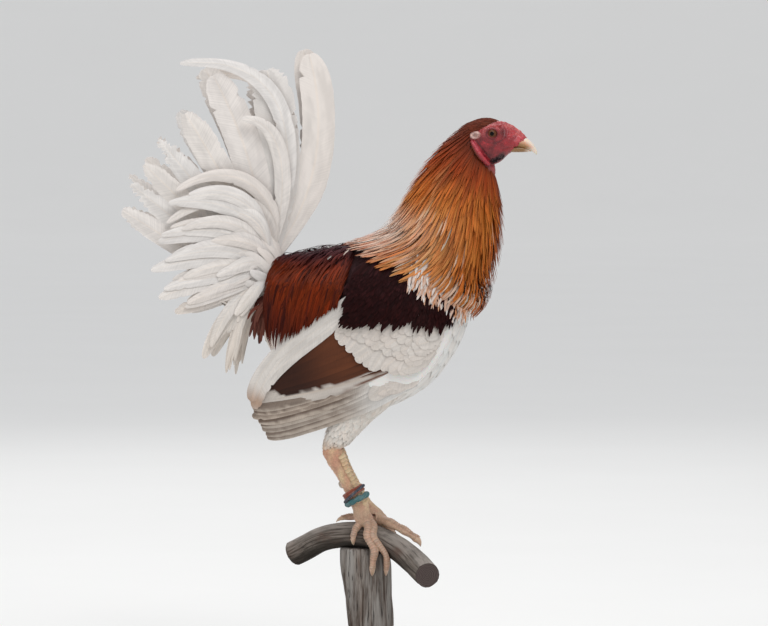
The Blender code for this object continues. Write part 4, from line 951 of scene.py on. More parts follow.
body_parts = [
    closed_form("body", rings_of(TORSO, 0.0, 9.0, 60, 64, -4.0)),
    closed_form("neck", rings_of(NECK, 0.0, 6.2, 50, 64, -1.6)),
    closed_form("stump", rings_of(STUMP, 0.0, 4.0, 30, 48, -2.5), TAIL_CORE_END), wing_arm(-1), wing_arm(1),
]
leg_parts = {-1: [], 1: []}
for side in (-1, 1):
    body_parts.append(closed_form("thigh", rings_of(THIGHS[side], 0.0, 4.9, 40, 40, -3.6)))
    body_parts.append(closed_form("hock", rings_of(SHANKS[side], 0.0, 0.8, 6, 40, -0.8)))
    low, out = on_limb(*FOOT_HUBS[side], 8.2)
    hub = Stack(
        [ANKLES[side], (ANKLES[side] + low) / 2, low, low - out * 5.0],
        [ANKLE_NORMAL, low - ANKLES[side], -out, -out], [(1, 0, 0)] * 4,
        [(9.0, 8.0), (9.4, 8.4), (10.2, 8.8), (7.4, 6.4)],
    )
    leg_parts[side] += [
        closed_form("shank", rings_of(SHANKS[side], 0.3, 5.0, 60, 40, -0.5)),
        closed_form("hub", rings_of(hub, 0.0, 3.0, 24, 40, -0.2)),
        lump(*(low + (5.5, 0, -0.5) + out * 1.0), (6.5, 5.0, 5.5), 20),
    ]
    for toe in TOES[side]:
        rings = rings_of(toe_form(side, toe), 0.0, 24.0, 50, 24, -0.35)
        inside = np.repeat((low + out * 1.5)[None, None], 24, 1) + (
            rings[:1] - rings[:1].mean(1, keepdims=True)
        ) * 0.9
        leg_parts[side].append(closed_form("toe", np.concatenate([inside, rings])))


def combine(obj, other, way="UNION"):
    """Joins another closed mesh to the first, or cuts it out of it."""
    apply_modifier(obj, "BOOLEAN", operation=way, object=other, solver="MANIFOLD")
    bpy.data.objects.remove(other)


skin = flesh(body_parts, BODY_GRAIN, 6)
for side in (-1, 1):
    combine(skin, flesh(leg_parts[side], LEG_GRAIN, 2))
combine(skin, face)
for side in (-1, 1):
    bpy.ops.mesh.primitive_uv_sphere_add(
        segments=48, ring_count=32, radius=(EYE_RADIUS + 0.1) * MM, location=Vector(EYE * (1, side, 1)) * MM,
    )
    combine(skin, bpy.context.object, "DIFFERENCE")
points = co_of(skin)
bare = bare_face(points)
legs = soft(-points[:, 2], -250.0, -238.0)
near_face, below = points[:, 2] > 540, legs > 0.5
colour = markings(points)
colour[near_face] = toward(colour[near_face], face_colour(points[near_face]), bare[near_face])
front = soft(rough_noise(points[below] * (1, 1, 0.3), 0.11) + (points[below, 0] + 20) * 0.02, -0.4, 0.5)
colour[below] = laid(
    LEG_PINK, (LEG_YELLOW, front), (FOOT_PINK, soft(192.0 - points[below, 2], 0.0, 25.0) * 0.75),
)
keep(skin, "plume", colour)
keep(skin, "zone", np.stack([bare * near_face, legs, legs * 0], 1))

hide, tree, shader = finish("skin_and_scale", 0.5, Subsurface_Weight=0.12, Subsurface_Scale=0.003)
on_face, on_legs, _ = parts_of(tree, kept(tree, "zone"))
scaled = {"Vector": place_on(tree), "Scale": 760.0}
pebbles = put(tree, "ShaderNodeTexVoronoi", scaled, feature="SMOOTH_F1").outputs["Distance"]
scaled["Scale"] = 420.0
scales = put(tree, "ShaderNodeTexVoronoi", scaled, feature="DISTANCE_TO_EDGE").outputs["Distance"]
mottle = cloud(tree, place_on(tree), 240.0, 4.0, 0.6)
bare_skin = maths(tree, "ADD", on_face, on_legs, clamp=True)
blotches = maths(tree, "MULTIPLY", spread(tree, mottle, 0.42, 0.66, 0.0, 0.35), bare_skin)
seams = maths(tree, "MULTIPLY", spread(tree, scales, 0.10, 0.0), on_legs)
colour = toned(tree, blotches, kept(tree, "plume"), (0.55, 0.5, 0.5))
feed(tree, shader, mixed(tree, maths(tree, "MULTIPLY", seams, 0.45), colour, (0.36, 0.19, 0.12)))
feed(tree, shader, spread(tree, on_face, 0.0, 1.0, 0.58, 0.40), "Roughness")
height = maths(tree, "ADD", maths(tree, "MULTIPLY", pebbles, on_face), maths(tree, "MULTIPLY", seams, -0.6))
bumped(tree, shader, maths(tree, "ADD", height, maths(tree, "MULTIPLY", mottle, 0.3)), 0.45, 0.8)
bumped(tree, shader, maths(tree, "ADD", height, maths(tree, "MULTIPLY", mottle, 0.3)), 0.45, 0.8)
settle(
    skin, "skin", hide, "face_skin", "head", "neck", "torso", "tail", "wing_left", "wing_right", "thigh_left",
    "thigh_right",
    "shank_left", "shank_right", "foot_left", "foot_right",
)

# Eyes
# Round glassy eyes set deep between the lids, each with an olive iris and a black pupil.

eye_finish, tree, shader = finish(
    "eye_glass", 0.30, Specular_IOR_Level=0.04, Coat_Weight=0.14, Coat_Roughness=0.03,
)
spot = parts_of(tree, place_on(tree))
eye_x, eye_z = (maths(tree, "SUBTRACT", spot[axis], EYE[axis] * MM) for axis in (0, 2))
squares = maths(tree, "ADD", maths(tree, "MULTIPLY", eye_x, eye_x), maths(tree, "MULTIPLY", eye_z, eye_z))
off_middle = maths(tree, "SQRT", squares)
reach = maths(tree, "ADD", off_middle, 0.0004)
ray = [
    maths(tree, "DIVIDE", eye_x, reach), maths(tree, "DIVIDE", eye_z, reach),
    maths(tree, "MULTIPLY", off_middle, 90.0),
]
fibres = cloud(tree, vector_of(tree, *ray), 9.0, 3.0, 0.6)
iris = layered(
    tree, mixed(tree, fibres, (0.050, 0.020, 0.011), (0.17, 0.068, 0.032)),
    (off_middle, 0.0030, 0.0044, 1.0, (0.13, 0.050, 0.022)),
    (off_middle, 0.0044, 0.0051, 1.0, (0.035, 0.012, 0.010)),
)
feed(tree, shader, mixed(tree, spread(tree, off_middle, 0.0021, 0.0024), (0.003, 0.003, 0.003), iris))
for side, word in ((-1, "right"), (1, "left")):
    bpy.ops.object.select_all(action="DESELECT")
    bpy.ops.mesh.primitive_uv_sphere_add(segments=64, ring_count=40, radius=EYE_RADIUS * MM)
    eye = bpy.context.object
    ball = co_of(eye)[:, [0, 2, 1]] * (1, side, 1)
    ball[:, 1] += side * 0.45 * np.clip(1 - (ball[:, 0] ** 2 + ball[:, 2] ** 2) / 25.0, 0, 1)
    set_co(eye, ball + EYE * (1, side, 1))
    settle(faced_outwards(eye), "eyeball_" + word, eye_finish, "eye_amber", "eye_" + word)

# Beak
# A short stout beak of horn: ivory along its ridge and hooked tip, olive at the sides near the
# gape, with the lower half closed up into the upper one.

UPPER_BEAK = (
    ((171.6, 579.4), (160.6, 568.6), 7.2), ((174.6, 578.4), (163.9, 568.5), 7.3),
    ((178.9, 575.2), (169.4, 567.8), 6.2),
    ((182.7, 571.0), (175.4, 566.4), 4.6), ((185.5, 566.2), (180.8, 564.2), 2.7),
    ((186.6, 562.6), (184.2, 561.8), 1.3),
)
LOWER_BEAK = (
    ((160.4, 569.6), (156.6, 563.4), 6.4), ((163.4, 569.4), (159.4, 563.1), 6.8),
    ((169.0, 568.8), (166.4, 563.0), 5.7),
    ((174.9, 567.4), (173.4, 563.2), 4.0), ((178.6, 565.8), (177.8, 563.4), 2.1),
)
horn_finish, tree, shader = finish(
    "horn", 0.36, Subsurface_Weight=0.15, Subsurface_Scale=0.002, Coat_Weight=0.12, Coat_Roughness=0.3,
)
growth = cloud(tree, place_on(tree), 900.0, 3.0, 0.6, (1.0, 0.3, 0.3))
lines = spread(tree, growth, 0.35, 0.7, 0.0, 0.25)
feed(tree, shader, toned(tree, lines, kept(tree, "plume"), (0.72, 0.66, 0.58)))
bumped(tree, shader, growth, 0.12, 0.5)
IVORY, OLIVE, BLUSH = np.array((0.80, 0.68, 0.56)), np.array(
    (0.33, 0.17, 0.065),
), np.array((0.68, 0.36, 0.22))
for name, sections, power, tip in (
    ("beak_upper", UPPER_BEAK, 2.3, (186.5, 0, 560.3)), ("beak_lower", LOWER_BEAK, 3.0, (180.6, 0, 564.0)),
):
    form = Form(sections, power)
    beak = closed_form(name, rings_of(form, 0, len(sections) - 1, 60, 48, 0.0), tip)
    points = co_of(beak)
    s, height = form.locate(points)
    if name == "beak_upper":
        sides = laid(OLIVE, (BLUSH, soft(height, -0.35, 0.35)), (IVORY, soft(height, 0.15, 0.9)))
        colour = toward(sides, IVORY, soft(s, 2.4, 4.2))
        ridge = bell(points[:, 1], 1.6) * soft(height, 0.4, 1.0) * 0.35
        set_co(beak, points + ridge[:, None] * (0.6, 0.0, 0.8))
    else:
        # The lower half takes the upper's colours a fifth darker, as painted shade under the upper half.
        colour = toward(OLIVE * 0.8, IVORY * 0.8, soft(s, 2.6, 4.0))
    keep(beak, "plume", colour)
    settle(beak, name + "_horn", horn_finish, "horn", name)

# Claws and spurs
# Eight hooked claws of pale horn, and on the inner side of each shank a spur that has been
# trimmed to a blunt stub.

CLAW_LENGTHS = {"hallux": 9.0, "outer": 9.0, "middle": 10.5, "inner": 9.5}
HORN_ROOT, HORN_TIP = np.array((0.62, 0.42, 0.29)), np.array((0.50, 0.38, 0.28))
SPUR_AT = 0.64


def horn_piece(form, last, rings, round_it, start, low, high, tip, name):
    """A claw or a spur, coloured by the distance from where it starts."""
    horn = closed_form("horn", rings_of(form, 0, last, rings, round_it, 0.0))
    share = soft(np.linalg.norm(co_of(horn) - start, axis=1), low, high)
    keep(horn, "plume", toward(HORN_ROOT, tip, share))
    settle(horn, name + "_horn", horn_finish, "horn", name)


for side, word in ((-1, "right"), (1, "left")):
    for toe, length in CLAW_LENGTHS.items():
        row = toe_form(side, toe).rows
        start, ahead, away, radius = row[-1, :3], unit(row[-1, :3] - row[-3, :3]), row[-1, 6:9], row[-1, 9]
        away = unit(away - ahead * (away @ ahead))
        t = np.linspace(-0.22, 0.97, 20)[:, None]
        centres = start + ahead * (length * t * (1 - 0.15 * t)) - away * (length * 0.42 * t * np.abs(t))
        wide = radius * 0.94 * (1 - np.clip(t, 0, 1) ** 1.5) + 0.12
        form = Stack(
            centres, np.gradient(centres, axis=0), [away] * 20, np.concatenate([wide, wide * 0.8], 1),
        )
        horn_piece(form, 19, 28, 20, start, 0.0, length, HORN_TIP, f"claw_{toe}_{word}")
    start = HOCKS[side] + (ANKLES[side] - HOCKS[side]) * SPUR_AT
    way = unit(np.array((-0.75, -side * 0.65, -0.05)))
    reach = np.array((0.5, 3.0, 6.0, 9.0, 12.0, 14.0, 15.1, 15.5))
    wide = np.array((4.6, 4.2, 4.0, 3.8, 3.35, 2.95, 2.5, 1.7))
    form = Stack(start + way * reach[:, None], [way] * 8, [(0, 0, 1)] * 8, np.stack([wide, wide], 1))
    horn_piece(form, 7, 30, 28, start, 4.0, 15.0, HORN_TIP * 0.8, "spur_" + word)

# Leg bands
# Three soft bands round the right shank above the foot: a brown cord wound three times, a thin
# navy one slung slantwise over it, and a thick teal one of two twisted strands.

BAND_RADIUS = 9.4


def cord_loop(centre, axis, radius, thick, off, strand, twists):
    """One strand of a closed cord round an axis, which winds about the cord's middle line."""
    ahead = unit(np.array((1.0, 0.0, 0.0)) - axis * axis[0])
    turn, around = round_turn(180)[:, None], round_turn(12)[:, None]
    out = ahead * np.cos(turn) + np.cross(axis, ahead) * np.sin(turn)
    wind = twists * turn + strand
    path = centre + out * (radius + off * np.cos(wind)) + axis * (off * np.sin(wind))
    return closed_loop(
        "cord_loop", path[:, None] + thick * (out[:, None] * np.cos(around) + axis * np.sin(around)),
    )


axis = unit(np.array(ANKLE_NORMAL))
axis_ahead = unit(np.array((1.0, 0.0, 0.0)) - axis * axis[0])
# place on the shank, slant in degrees, height of the cord, twists, dye, and for each strand its thickness, its
# distance from the cord's middle, where it starts to wind and how far down the shank it lies
for name, share, tilt, minor, twists, dye, strands in (
    ("navy", -0.19, 14, 4.0, 16, (0.030, 0.036, 0.060), ((1.15, 0.55, 0, 0), (1.15, 0.55, math.pi, 0))),
    (
        "cord", -0.33, 3, 1.8, 3, (0.27, 0.050, 0.016),
        ((1.4, 0.2, 0, -2.3), (1.4, 0.2, 1, 0), (1.4, 0.2, 2, 2.3)),
    ),
    ("teal", 0.37, 0, 2.4, 4, (0.035, 0.150, 0.160), ((2.35, 1.0, 0, 0), (2.35, 1.0, math.pi, 0))),
):
    middle = HOCKS[-1] + (ANKLES[-1] - HOCKS[-1]) * (0.82 + 0.18 * share)
    leaned = unit(axis + axis_ahead * math.tan(math.radians(tilt)))
    loops = [
        cord_loop(middle + leaned * along, leaned, BAND_RADIUS + minor, thick, off, strand, twists)
        for thick, off, strand, along in strands
    ]
    pick(*loops)
    bpy.ops.object.join()
    cloth, tree, shader = finish(f"{name}_cord", 0.72, Sheen_Weight=0.25, Sheen_Roughness=0.5)
    weave = cloud(tree, place_on(tree), 1500.0, 2.0, 0.6)
    paler_mask = cloud(tree, place_on(tree), 160.0, 3.0, 0.6)
    colour = layered(tree, dye, (paler_mask, 0.4, 0.7, 0.55, tuple(0.16 + 0.75 * c for c in dye)))
    feed(tree, shader, toned(tree, spread(tree, weave, 0.3, 0.7, 0.5, 0.0), colour, (0.4, 0.4, 0.4)))
    bumped(tree, shader, weave, 0.2, 0.8)
    settle(loops[0], f"leg_band_{name}", cloth, f"{name}_band", f"band_{name}")

# Scutes
# Overlapping plates of horny skin, one row down the front of each shank and along the top of
# every toe, a few of them set a little crooked.

# Sections of a small feather and of a large one: share of the half width, and millimetres up from its middle
SMALL_BLADE = np.array(((-1, 0), (0, 0.30), (1, 0), (0, -0.22)))
LARGE_BLADE = np.array((
    (-1, 0), (-0.68, 0.22), (-0.34, 0.30), (0, 0.52), (0.34, 0.30), (0.68, 0.22), (1, 0), (0.5, -0.2),
    (0, -0.42),
    (-0.5, -0.2),
))
SMALL_PATCH = (0.003, 0.003)


def blade_stops(number):
    """Stations along a feather, closer together towards its tip."""
    return 1 - (1 - np.linspace(0, 1, number)) ** 1.45


def blade_width(t, fullness, root=0.4):
    """Half width along a feather, as a share of its widest."""
    opening = root + (1 - root) * soft(t, 0, 0.4)
    return opening * np.sqrt(np.clip(1 - (np.maximum(0, t - fullness) / (1 - fullness)) ** 2, 0, 1))


def lay_blades(
    name, spines, outs, halves, colours, places, material, slot, section=SMALL_BLADE, camber=0.12, slant=0.25,
    patch=SMALL_PATCH, seed=1,
):
    """Builds feathers as one mesh of thin closed blades.

    Each has stations along its spine with the way out, the half widths and the colour there, and
    the place of its root on an unwrap of the skin. The last station is its tip.
    """
    number, stops = spines.shape[:2]
    rows, round_it = stops - 1, len(section)
    if halves.ndim == 2:
        halves = np.repeat(halves[..., None], 2, -1)
    along = unit(np.gradient(spines, axis=1))
    side = unit(np.cross(along, outs))
    across, rise = section[:, 0], section[:, 1]
    half = np.where(across < 0, halves[..., :1], halves[..., 1:])[:, :rows]
    thin = (1 - 0.6 * np.linspace(0, 1, stops)[:rows])[:, None]
    points = spines[:, :rows, None]
    for way, reach in (
        (side, across * half), (np.cross(side, along), rise * thin - camber * across ** 2 * half),
        (-along, slant * np.abs(across) * half),
    ):
        points = points + way[:, :rows, None] * reach[..., None]
    points = np.concatenate([points.reshape(number, -1, 3), spines[:, -1:]], 1)
    each = points.shape[1]
    i, j = np.meshgrid(np.arange(rows - 1), np.arange(round_it), indexing="ij")
    low, high, after = i * round_it, (i + 1) * round_it, (j + 1) % round_it
    quads = np.stack([low + j, low + after, high + after, high + j], -1).reshape(-1, 4)
    quad_uv = [np.stack([j, j + 1, j + 1, j], -1) / round_it, np.stack([i, i, i + 1, i + 1], -1) / rows]
    quad_uv = np.stack(quad_uv, -1).reshape(-1, 4, 2)
    j = np.arange(round_it)
    last, end = (rows - 1) * round_it, j * 0 + rows
    tips = np.stack([last + j, last + (j + 1) % round_it, j * 0 + each - 1], -1)
    tip_uv = np.stack(
        [np.stack([j, j + 1, j + 0.5], -1) / round_it, np.stack([end - 1, end - 1, end], -1) / rows], -1,
    )
    j = j[1:-1]
    roots = np.stack([j * 0, j + 1, j], -1)
    root_uv = np.stack([roots / round_it, -0.04 - 0.10 * np.sin(math.pi * roots / round_it)], -1)
    triangles, triangle_uv = np.concatenate([tips, roots]), np.concatenate([tip_uv, root_uv])
    a, b, c = (points[0][quads[:, corner]] for corner in range(3))
    if np.einsum("ij,ij->", a - points[0].mean(0), np.cross(b - a, c - a)) < 0:
        quads, quad_uv = quads[:, ::-1], quad_uv[:, ::-1]
        triangles, triangle_uv = triangles[:, ::-1], triangle_uv[:, ::-1]
    shift = (np.arange(number) * each)[:, None, None]
    faces = (quads + shift).reshape(-1, 4).tolist() + (triangles + shift).reshape(-1, 3).tolist()
    obj = mesh_piece(name, points, faces)
    cells = np.broadcast_to(np.asarray(patch, float), (number, 2))[:, None, None]
    uv = [(places[:, None, None] + (part - 0.5) * cells).reshape(-1, 2) for part in (quad_uv, triangle_uv)]
    layer = obj.data.uv_layers.new(name="OFBake").data
    layer.foreach_set("uv", np.concatenate(uv).astype(np.float32).ravel())
    if colours.ndim == 3:
        colours = colours[:, :, None]
    colours = np.broadcast_to(colours, (number, stops, round_it, 3))
    tint = np.concatenate([colours[:, :rows].reshape(number, -1, 3), colours[:, -1:, 0]], 1)
    keep(obj, "plume", tint.reshape(-1, 3))
    steps = np.linalg.norm(np.diff(spines, axis=1), axis=-1)
    run = np.concatenate([np.zeros((number, 1)), np.cumsum(steps, 1)], 1)
    luck = np.random.default_rng(seed).random(number)
    blade = np.broadcast_arrays(across, run[:, :rows, None], luck[:, None, None])
    tip = np.stack([luck * 0, run[:, -1], luck], -1)[:, None]
    keep(obj, "blade", np.concatenate([np.stack(blade, -1).reshape(number, -1, 3), tip], 1).reshape(-1, 3))
    settle(obj, name, material, slot)
    obj.data.set_sharp_from_angle(angle=math.radians(70))


def shaken(colours, rng, amount, hue=0.0):
    """The colours with a small difference of light and warmth for each feather."""
    light = 1 + rng.uniform(-amount, amount, (len(colours),) + (1,) * (colours.ndim - 1))
    warm = 0
    if colours.ndim > 2:
        warm = rng.uniform(-hue, hue, (len(colours),) + (1,) * (colours.ndim - 2))[..., None]
    return np.clip(colours * light * (1 + warm * np.array((0.5, -0.5, -1.0))), 0, 0.95)


scute_finish, tree, shader = finish(
    "scute", 0.42, Subsurface_Weight=0.12, Subsurface_Scale=0.002, Coat_Weight=0.08, Coat_Roughness=0.3,
)
grain = cloud(tree, place_on(tree), 520.0, 4.0, 0.6)
patches = spread(tree, grain, 0.35, 0.75, 0.0, 0.4)
feed(tree, shader, toned(tree, patches, kept(tree, "plume"), (0.66, 0.56, 0.50)))
bumped(tree, shader, grain, 0.14, 0.6)


def scute_row(form, first, last, length, width, angle, rng):
    """Plates down a limb's form: each starts under the one before it and lifts a little at its end."""
    s, spines, outs, halves, wide = first, [], [], [], []
    t = np.linspace(0, 1, 7)
    while s < last:
        step = np.linalg.norm(form.at(s + 0.1, angle) - form.at(s, angle)) / 0.1
        reach = length * rng.uniform(0.85, 1.15)
        s_now = np.minimum(s + reach * 1.35 / step * t, last + 0.3)
        turn = angle + rng.uniform(-0.06, 0.06)
        spines.append(form.at(s_now, turn, -0.5 + 1.2 * t))
        outs.append(form.normal(s_now, turn))
        radius = np.linalg.norm(form.at(s, angle) - form.at(s, angle + math.pi)) / 2
        halves.append(radius * width * np.sqrt(np.clip(1 - np.abs(2 * t - 0.95) ** 4, 0, 1)))
        s += reach / step
    return np.array(spines), np.array(outs), np.array(halves)


for side, word in ((-1, "right"), (1, "left")):
    rng = np.random.default_rng(35 + side)
    rows = [scute_row(SHANKS[side], 0.75, 4.7, 4.3, 0.86, 0.0, rng)]
    rows.append(scute_row(SHANKS[side], 0.9, 4.6, 4.6, 0.5, math.pi, rng))
    rows += [scute_row(toe_form(side, toe), 1.0, 23.0, 2.9, 0.84, 0.0, rng) for toe in TOES[side]]
    spines, outs, halves = (np.concatenate(parts) for parts in zip(*rows))
    yellow = np.repeat((0.95, 0.35, 0.6, 0.6, 0.6, 0.6), [len(part[0]) for part in rows])
    low = soft(192.0 - spines[:, 0, 2], 0.0, 25.0)
    tint = laid(LEG_PINK, (LEG_YELLOW, yellow * rng.uniform(0.8, 1.0, len(spines))), (FOOT_PINK, low * 0.75))
    # Each plate darkens towards its root, under the plate before it, and is lighter at its lifted end: painted
    # shade and light.
    colours = shaken(np.repeat(tint[:, None], 7, 1), rng, 0.10, 0.05) * np.linspace(0.66, 1.12, 7)[:, None]
    place = np.stack([0.5 + spines[:, 0, 0] / 200, (spines[:, 0, 2] - 100) / 160], -1)
    lay_blades(
        "scutes_" + word, spines, outs, halves, colours, place, scute_finish, "leg_scale", LARGE_BLADE, 0.62,
        0.0,
        (0.006, 0.006), 35,
    )


# Hackle and crown
# Long narrow feathers that start short on the crown and throat, and fall from the neck over
# back, shoulders and breast. Each is rust to gold with a paler edge, and some are cream.

HACKLE_SECTIONS = (
    ((105.1, 591.5), (138.5, 547.5), 17), ((81, 573), (145, 535), 24), ((59, 546), (148, 513), 33),
    ((41, 517), (150, 494), 43), ((27, 494), (151, 468), 52), ((8, 477), (147, 437), 61),
    ((-16, 469), (135, 402), 69), ((-26, 464), (119, 384), 71),
)
CROWN_LIFT = 1.0
NAPE = Form(HEAD_SECTIONS[::-1] + NECK_SECTIONS[1:], 2.1)
crown = tuple(
    ((a[0] - 0.3, a[1] + CROWN_LIFT), (b[0] + 0.3, b[1] - CROWN_LIFT), half + CROWN_LIFT)
    for a, b, half in HEAD_SECTIONS[:0:-1]
)
MANE = Form(crown + HACKLE_SECTIONS, 2.1)


def plumage(
    name, roughness, barbs, barb_depth, streaks, streak_depth, shaft, shaft_share, sheen=0.12, gloss=0.22,
):
    """A feather's finish: barbs slant out from the shaft, and streaks run along it."""
    material, tree, shader = finish(
        name, roughness, Specular_IOR_Level=gloss, Sheen_Weight=sheen, Sheen_Roughness=0.4,
    )
    across, run, luck = parts_of(tree, kept(tree, "blade"))
    aside = maths(tree, "ABSOLUTE", across)
    slanted = maths(tree, "MULTIPLY", aside, 3.2 * barbs)
    lines = maths(tree, "SUBTRACT", maths(tree, "MULTIPLY", run, barbs), slanted)
    line_place = vector_of(tree, lines, maths(tree, "MULTIPLY", luck, 91.0), maths(tree, "SIGN", across))
    barb = cloud(tree, line_place, 1.0, 2.0, 0.6)
    streak_place = [
        maths(tree, "MULTIPLY", *pair) for pair in ((across, streaks), (luck, 57.0), (run, 0.035))
    ]
    streak = cloud(tree, vector_of(tree, *streak_place), 1.0, 2.0, 0.5)
    shade = maths(
        tree, "MULTIPLY", spread(tree, barb, 0.3, 0.7, 1.0 - barb_depth, 1.0 + barb_depth * 0.5),
        spread(tree, streak, 0.32, 0.68, 1.0 - streak_depth, 1.0 + streak_depth * 0.6),
    )
    colour = mixed(tree, 1.0, kept(tree, "plume"), vector_of(tree, shade, shade, shade), "MULTIPLY")
    feed(tree, shader, toned(tree, spread(tree, aside, 0.11, 0.03, 0.0, shaft_share), colour, shaft))
    bumped(tree, shader, maths(tree, "ADD", barb, streak), 0.16, 0.7)
    return material


def along_form(form, s, angle, end_s, end_angle, t, lift, envelope=None):
    """Feathers that lie on a form from their roots to their ends. Lift grows from root to tip."""
    s_now = s[:, None] + (end_s - s)[:, None] * t
    angle_now = angle[:, None] + (end_angle - angle)[:, None] * t
    if envelope is None:
        spines = form.at(s_now, angle_now, lift[0] + (lift[1] - lift[0]) * soft(t, -0.1, 1.0))
    else:
        share = -0.12 + (lift[:, None] + 0.12) * t ** 0.85
        inner = form.at(s_now, angle_now)
        spines = inner + (envelope.at(s_now, angle_now) - inner) * share[..., None]
    return spines, form.normal(s_now, angle_now), s_now, angle_now


def scattered(form, first, last, gap, rng, grows=None, low=-math.pi, high=math.pi):
    """Even, slightly shaken root places on a form, with their gap in millimetres as it changes along it."""
    found_s, found_angle = [], []
    s, row = first, 0
    while s <= last:
        here = gap(s)
        ring = form.at(s, np.linspace(low, high, 60))
        length = np.linalg.norm(np.diff(ring, axis=0), axis=1).sum()
        number = max(4, int(length / here))
        share = (np.arange(number) + 0.5 * (row % 2) + rng.uniform(-0.3, 0.3, number))
        found_s.append(s + rng.uniform(-0.35, 0.35, number) * here / 22)
        found_angle.append(low + (high - low) * share / number)
        step = np.linalg.norm(form.at(s + 0.05, 1.0) - form.at(s, 1.0)) / 0.05
        s += here * 1.05 / max(step, 4.0)
        row += 1
    s, angle = np.clip(np.concatenate(found_s), first, last), np.concatenate(found_angle)
    if grows is not None:
        good = grows(form.at(s, angle))
        s, angle = s[good], angle[good]
    return s, angle


def unwrap_place(s, angle, last):
    """A root's place on the form's own unwrap."""
    return np.stack([0.01 + 0.98 * s / last, 0.01 + 0.98 * ((angle / (2 * math.pi)) % 1.0)], -1)


def feathered(places):
    """True where a feather grows: not on the bare face, whose edge is uneven."""
    places = places + 1.5 * rough_noise(places, 0.55)[:, None] * (1, 0, 1)
    return (bare_face(places) < 0.35) & ~((places[:, 0] > 142) & (places[:, 2] < 590))


def hackle_gap(s):
    return np.interp(s, (2, 6.5, 8, 10, 11.5), (1.8, 2.1, 3.3, 3.9, 4.1))


rng = np.random.default_rng(11)
s, angle = scattered(NAPE, 1.7, 11.6, hackle_gap, rng, feathered)
reach = np.interp(s, (1.5, 5, 6.3, 7.2, 8, 9, 10, 11.5), (0.9, 1.0, 1.0, 1.2, 1.9, 2.4, 2.6, 2.4))
end = np.minimum(13.97, s + reach * rng.uniform(0.78, 1.08, len(s)))
turn = rng.uniform(-0.06, 0.06, len(s)) * np.interp(s, (6, 9), (0.6, 1.0))
stops = blade_stops(8)
lift = 1.0 - rng.uniform(0.0, 0.26, len(s)) + 0.22 * soft(-np.cos(angle), 0.6, 0.95) * soft(9.6 - s, 0, 2)
spines, outs, s_now, angle_now = along_form(NAPE, s, angle, end, angle + turn, stops, lift, MANE)
widest = np.interp(s, (2, 6, 8, 10, 11.5), (0.85, 1.1, 1.75, 2.2, 2.4)) * rng.uniform(0.75, 1.2, len(s))
halves = widest[:, None] * blade_width(stops, 0.42, 0.6) * (1 - 0.35 * stops)
pale = np.zeros(len(s))
# where pale streaks show on the neck: along it, round it, and their reach both ways
for place_s, place_angle, size_s, size_angle in (
    (8.6, 1.12, 0.5, 0.11), (9.4, 1.18, 0.5, 0.12), (10.3, 1.25, 0.7, 0.20), (10.6, 0.85, 0.5, 0.14),
):
    for hand in (-1, 1):
        pale = np.maximum(pale, bell(s + 0.4 - place_s, size_s, angle - hand * place_angle, size_angle))
nape = soft(np.cos(angle), 0.62, 0.98) * soft(s, 8.2, 10.0)
low_front = soft(s, 10.9, 11.5) * soft(-np.cos(angle), 0.05, 0.5) * soft(np.cos(angle), -0.97, -0.75)
chance = 0.06 * soft(s, 8, 9) + 0.30 * pale + 0.60 * nape + 0.50 * low_front + 0.30 * soft(s, 10.4, 11.2)
cream = rng.random(len(s)) < np.clip(chance, 0, 0.9)
pale_share = np.maximum(cream * rng.uniform(0.35, 0.9, len(s)), 0.45 * pale * rng.uniform(0.3, 1.0, len(s)))
pale_share = pale_share[:, None] * soft(stops, 0.05, 0.45) * (1 - 0.35 * soft(stops, 0.8, 1.0))
back_tips = soft(np.cos(angle_now), 0.0, 0.35) * soft(s_now, 10.6, 12.6) * soft(stops, 0.55, 0.95)
colours = laid(
    neck_colour(np.clip(s_now - 7, 0, 7), np.cos(angle_now)),
    (toward(np.array((0.62, 0.36, 0.17)), CREAM * (1.0, 0.87, 0.77), soft(s_now, 9.9, 11.1)), pale_share),
    (ORANGE * (0.85, 0.7, 0.6), back_tips * rng.uniform(0.2, 0.95, (len(s), 1))),
    (CROWN, (rng.random(len(s)) < 0.14)[:, None] * (1 - pale_share) * 0.4),
    (RUST * 0.6, soft(-np.cos(angle_now), 0.95, 1.0) * soft(s_now, 8.0, 9.0) * 0.7),
)
colours = shaken(colours, rng, 0.17, 0.14)
hackle_finish = plumage("hackle_plumes", 0.56, 1.4, 0.12, 3.2, 0.32, (0.70, 0.58, 0.50), 0.5, 0.0, 0.12)
short = s < 7.6
for name, some in (("crown_feathers", short), ("hackle", ~short)):
    lay_blades(
        name, spines[some], outs[some], halves[some], colours[some], unwrap_place(s, angle, 14)[some],
        hackle_finish, "red_plumage", seed=2, slant=0.5,
    )

# Jaw bristles
# Short stiff black bristles in two strips under the jaw, thin enough to let the red skin through.

rng = np.random.default_rng(15)
stops = blade_stops(5)
sweep = unit(np.array((-0.80, 0.0, -0.60)) + rng.uniform(-0.35, 0.35, (len(bristle_places), 3)))
sweep = unit(sweep - bristle_outs * (sweep * bristle_outs).sum(-1, keepdims=True))
length = rng.uniform(2.2, 4.2, len(bristle_places))[:, None, None] * stops[:, None]
spines = bristle_places[:, None] + sweep[:, None] * length + bristle_outs[:, None] * (length * 0.16 - 0.3)
lay_blades(
    "jaw_bristles", spines, bristle_outs[:, None],
    0.34 * blade_width(stops, 0.2, 0.8) * np.ones((len(spines), 1)),
    shaken(np.tile((0.016, 0.010, 0.012), (len(spines), 5, 1)), rng, 0.4, 0.1),
    (bristle_places[:, ::2] - (100, 540)) / (90, 60), hackle_finish, "red_plumage",
    section=SMALL_BLADE * (1.0, 0.4), slant=0.2, seed=16,
)

# Breast, belly and back
# Soft rounded feathers that overlap like tiles: white on breast and belly, and dark plum on
# the back between the wings, where the hackle and the saddle meet.


def not_under_wing(places):
    x, y, z = places.T
    return ~((np.abs(y) > 40) & (z > 322) & (z < 405) & (x > -20) & (x < 60))


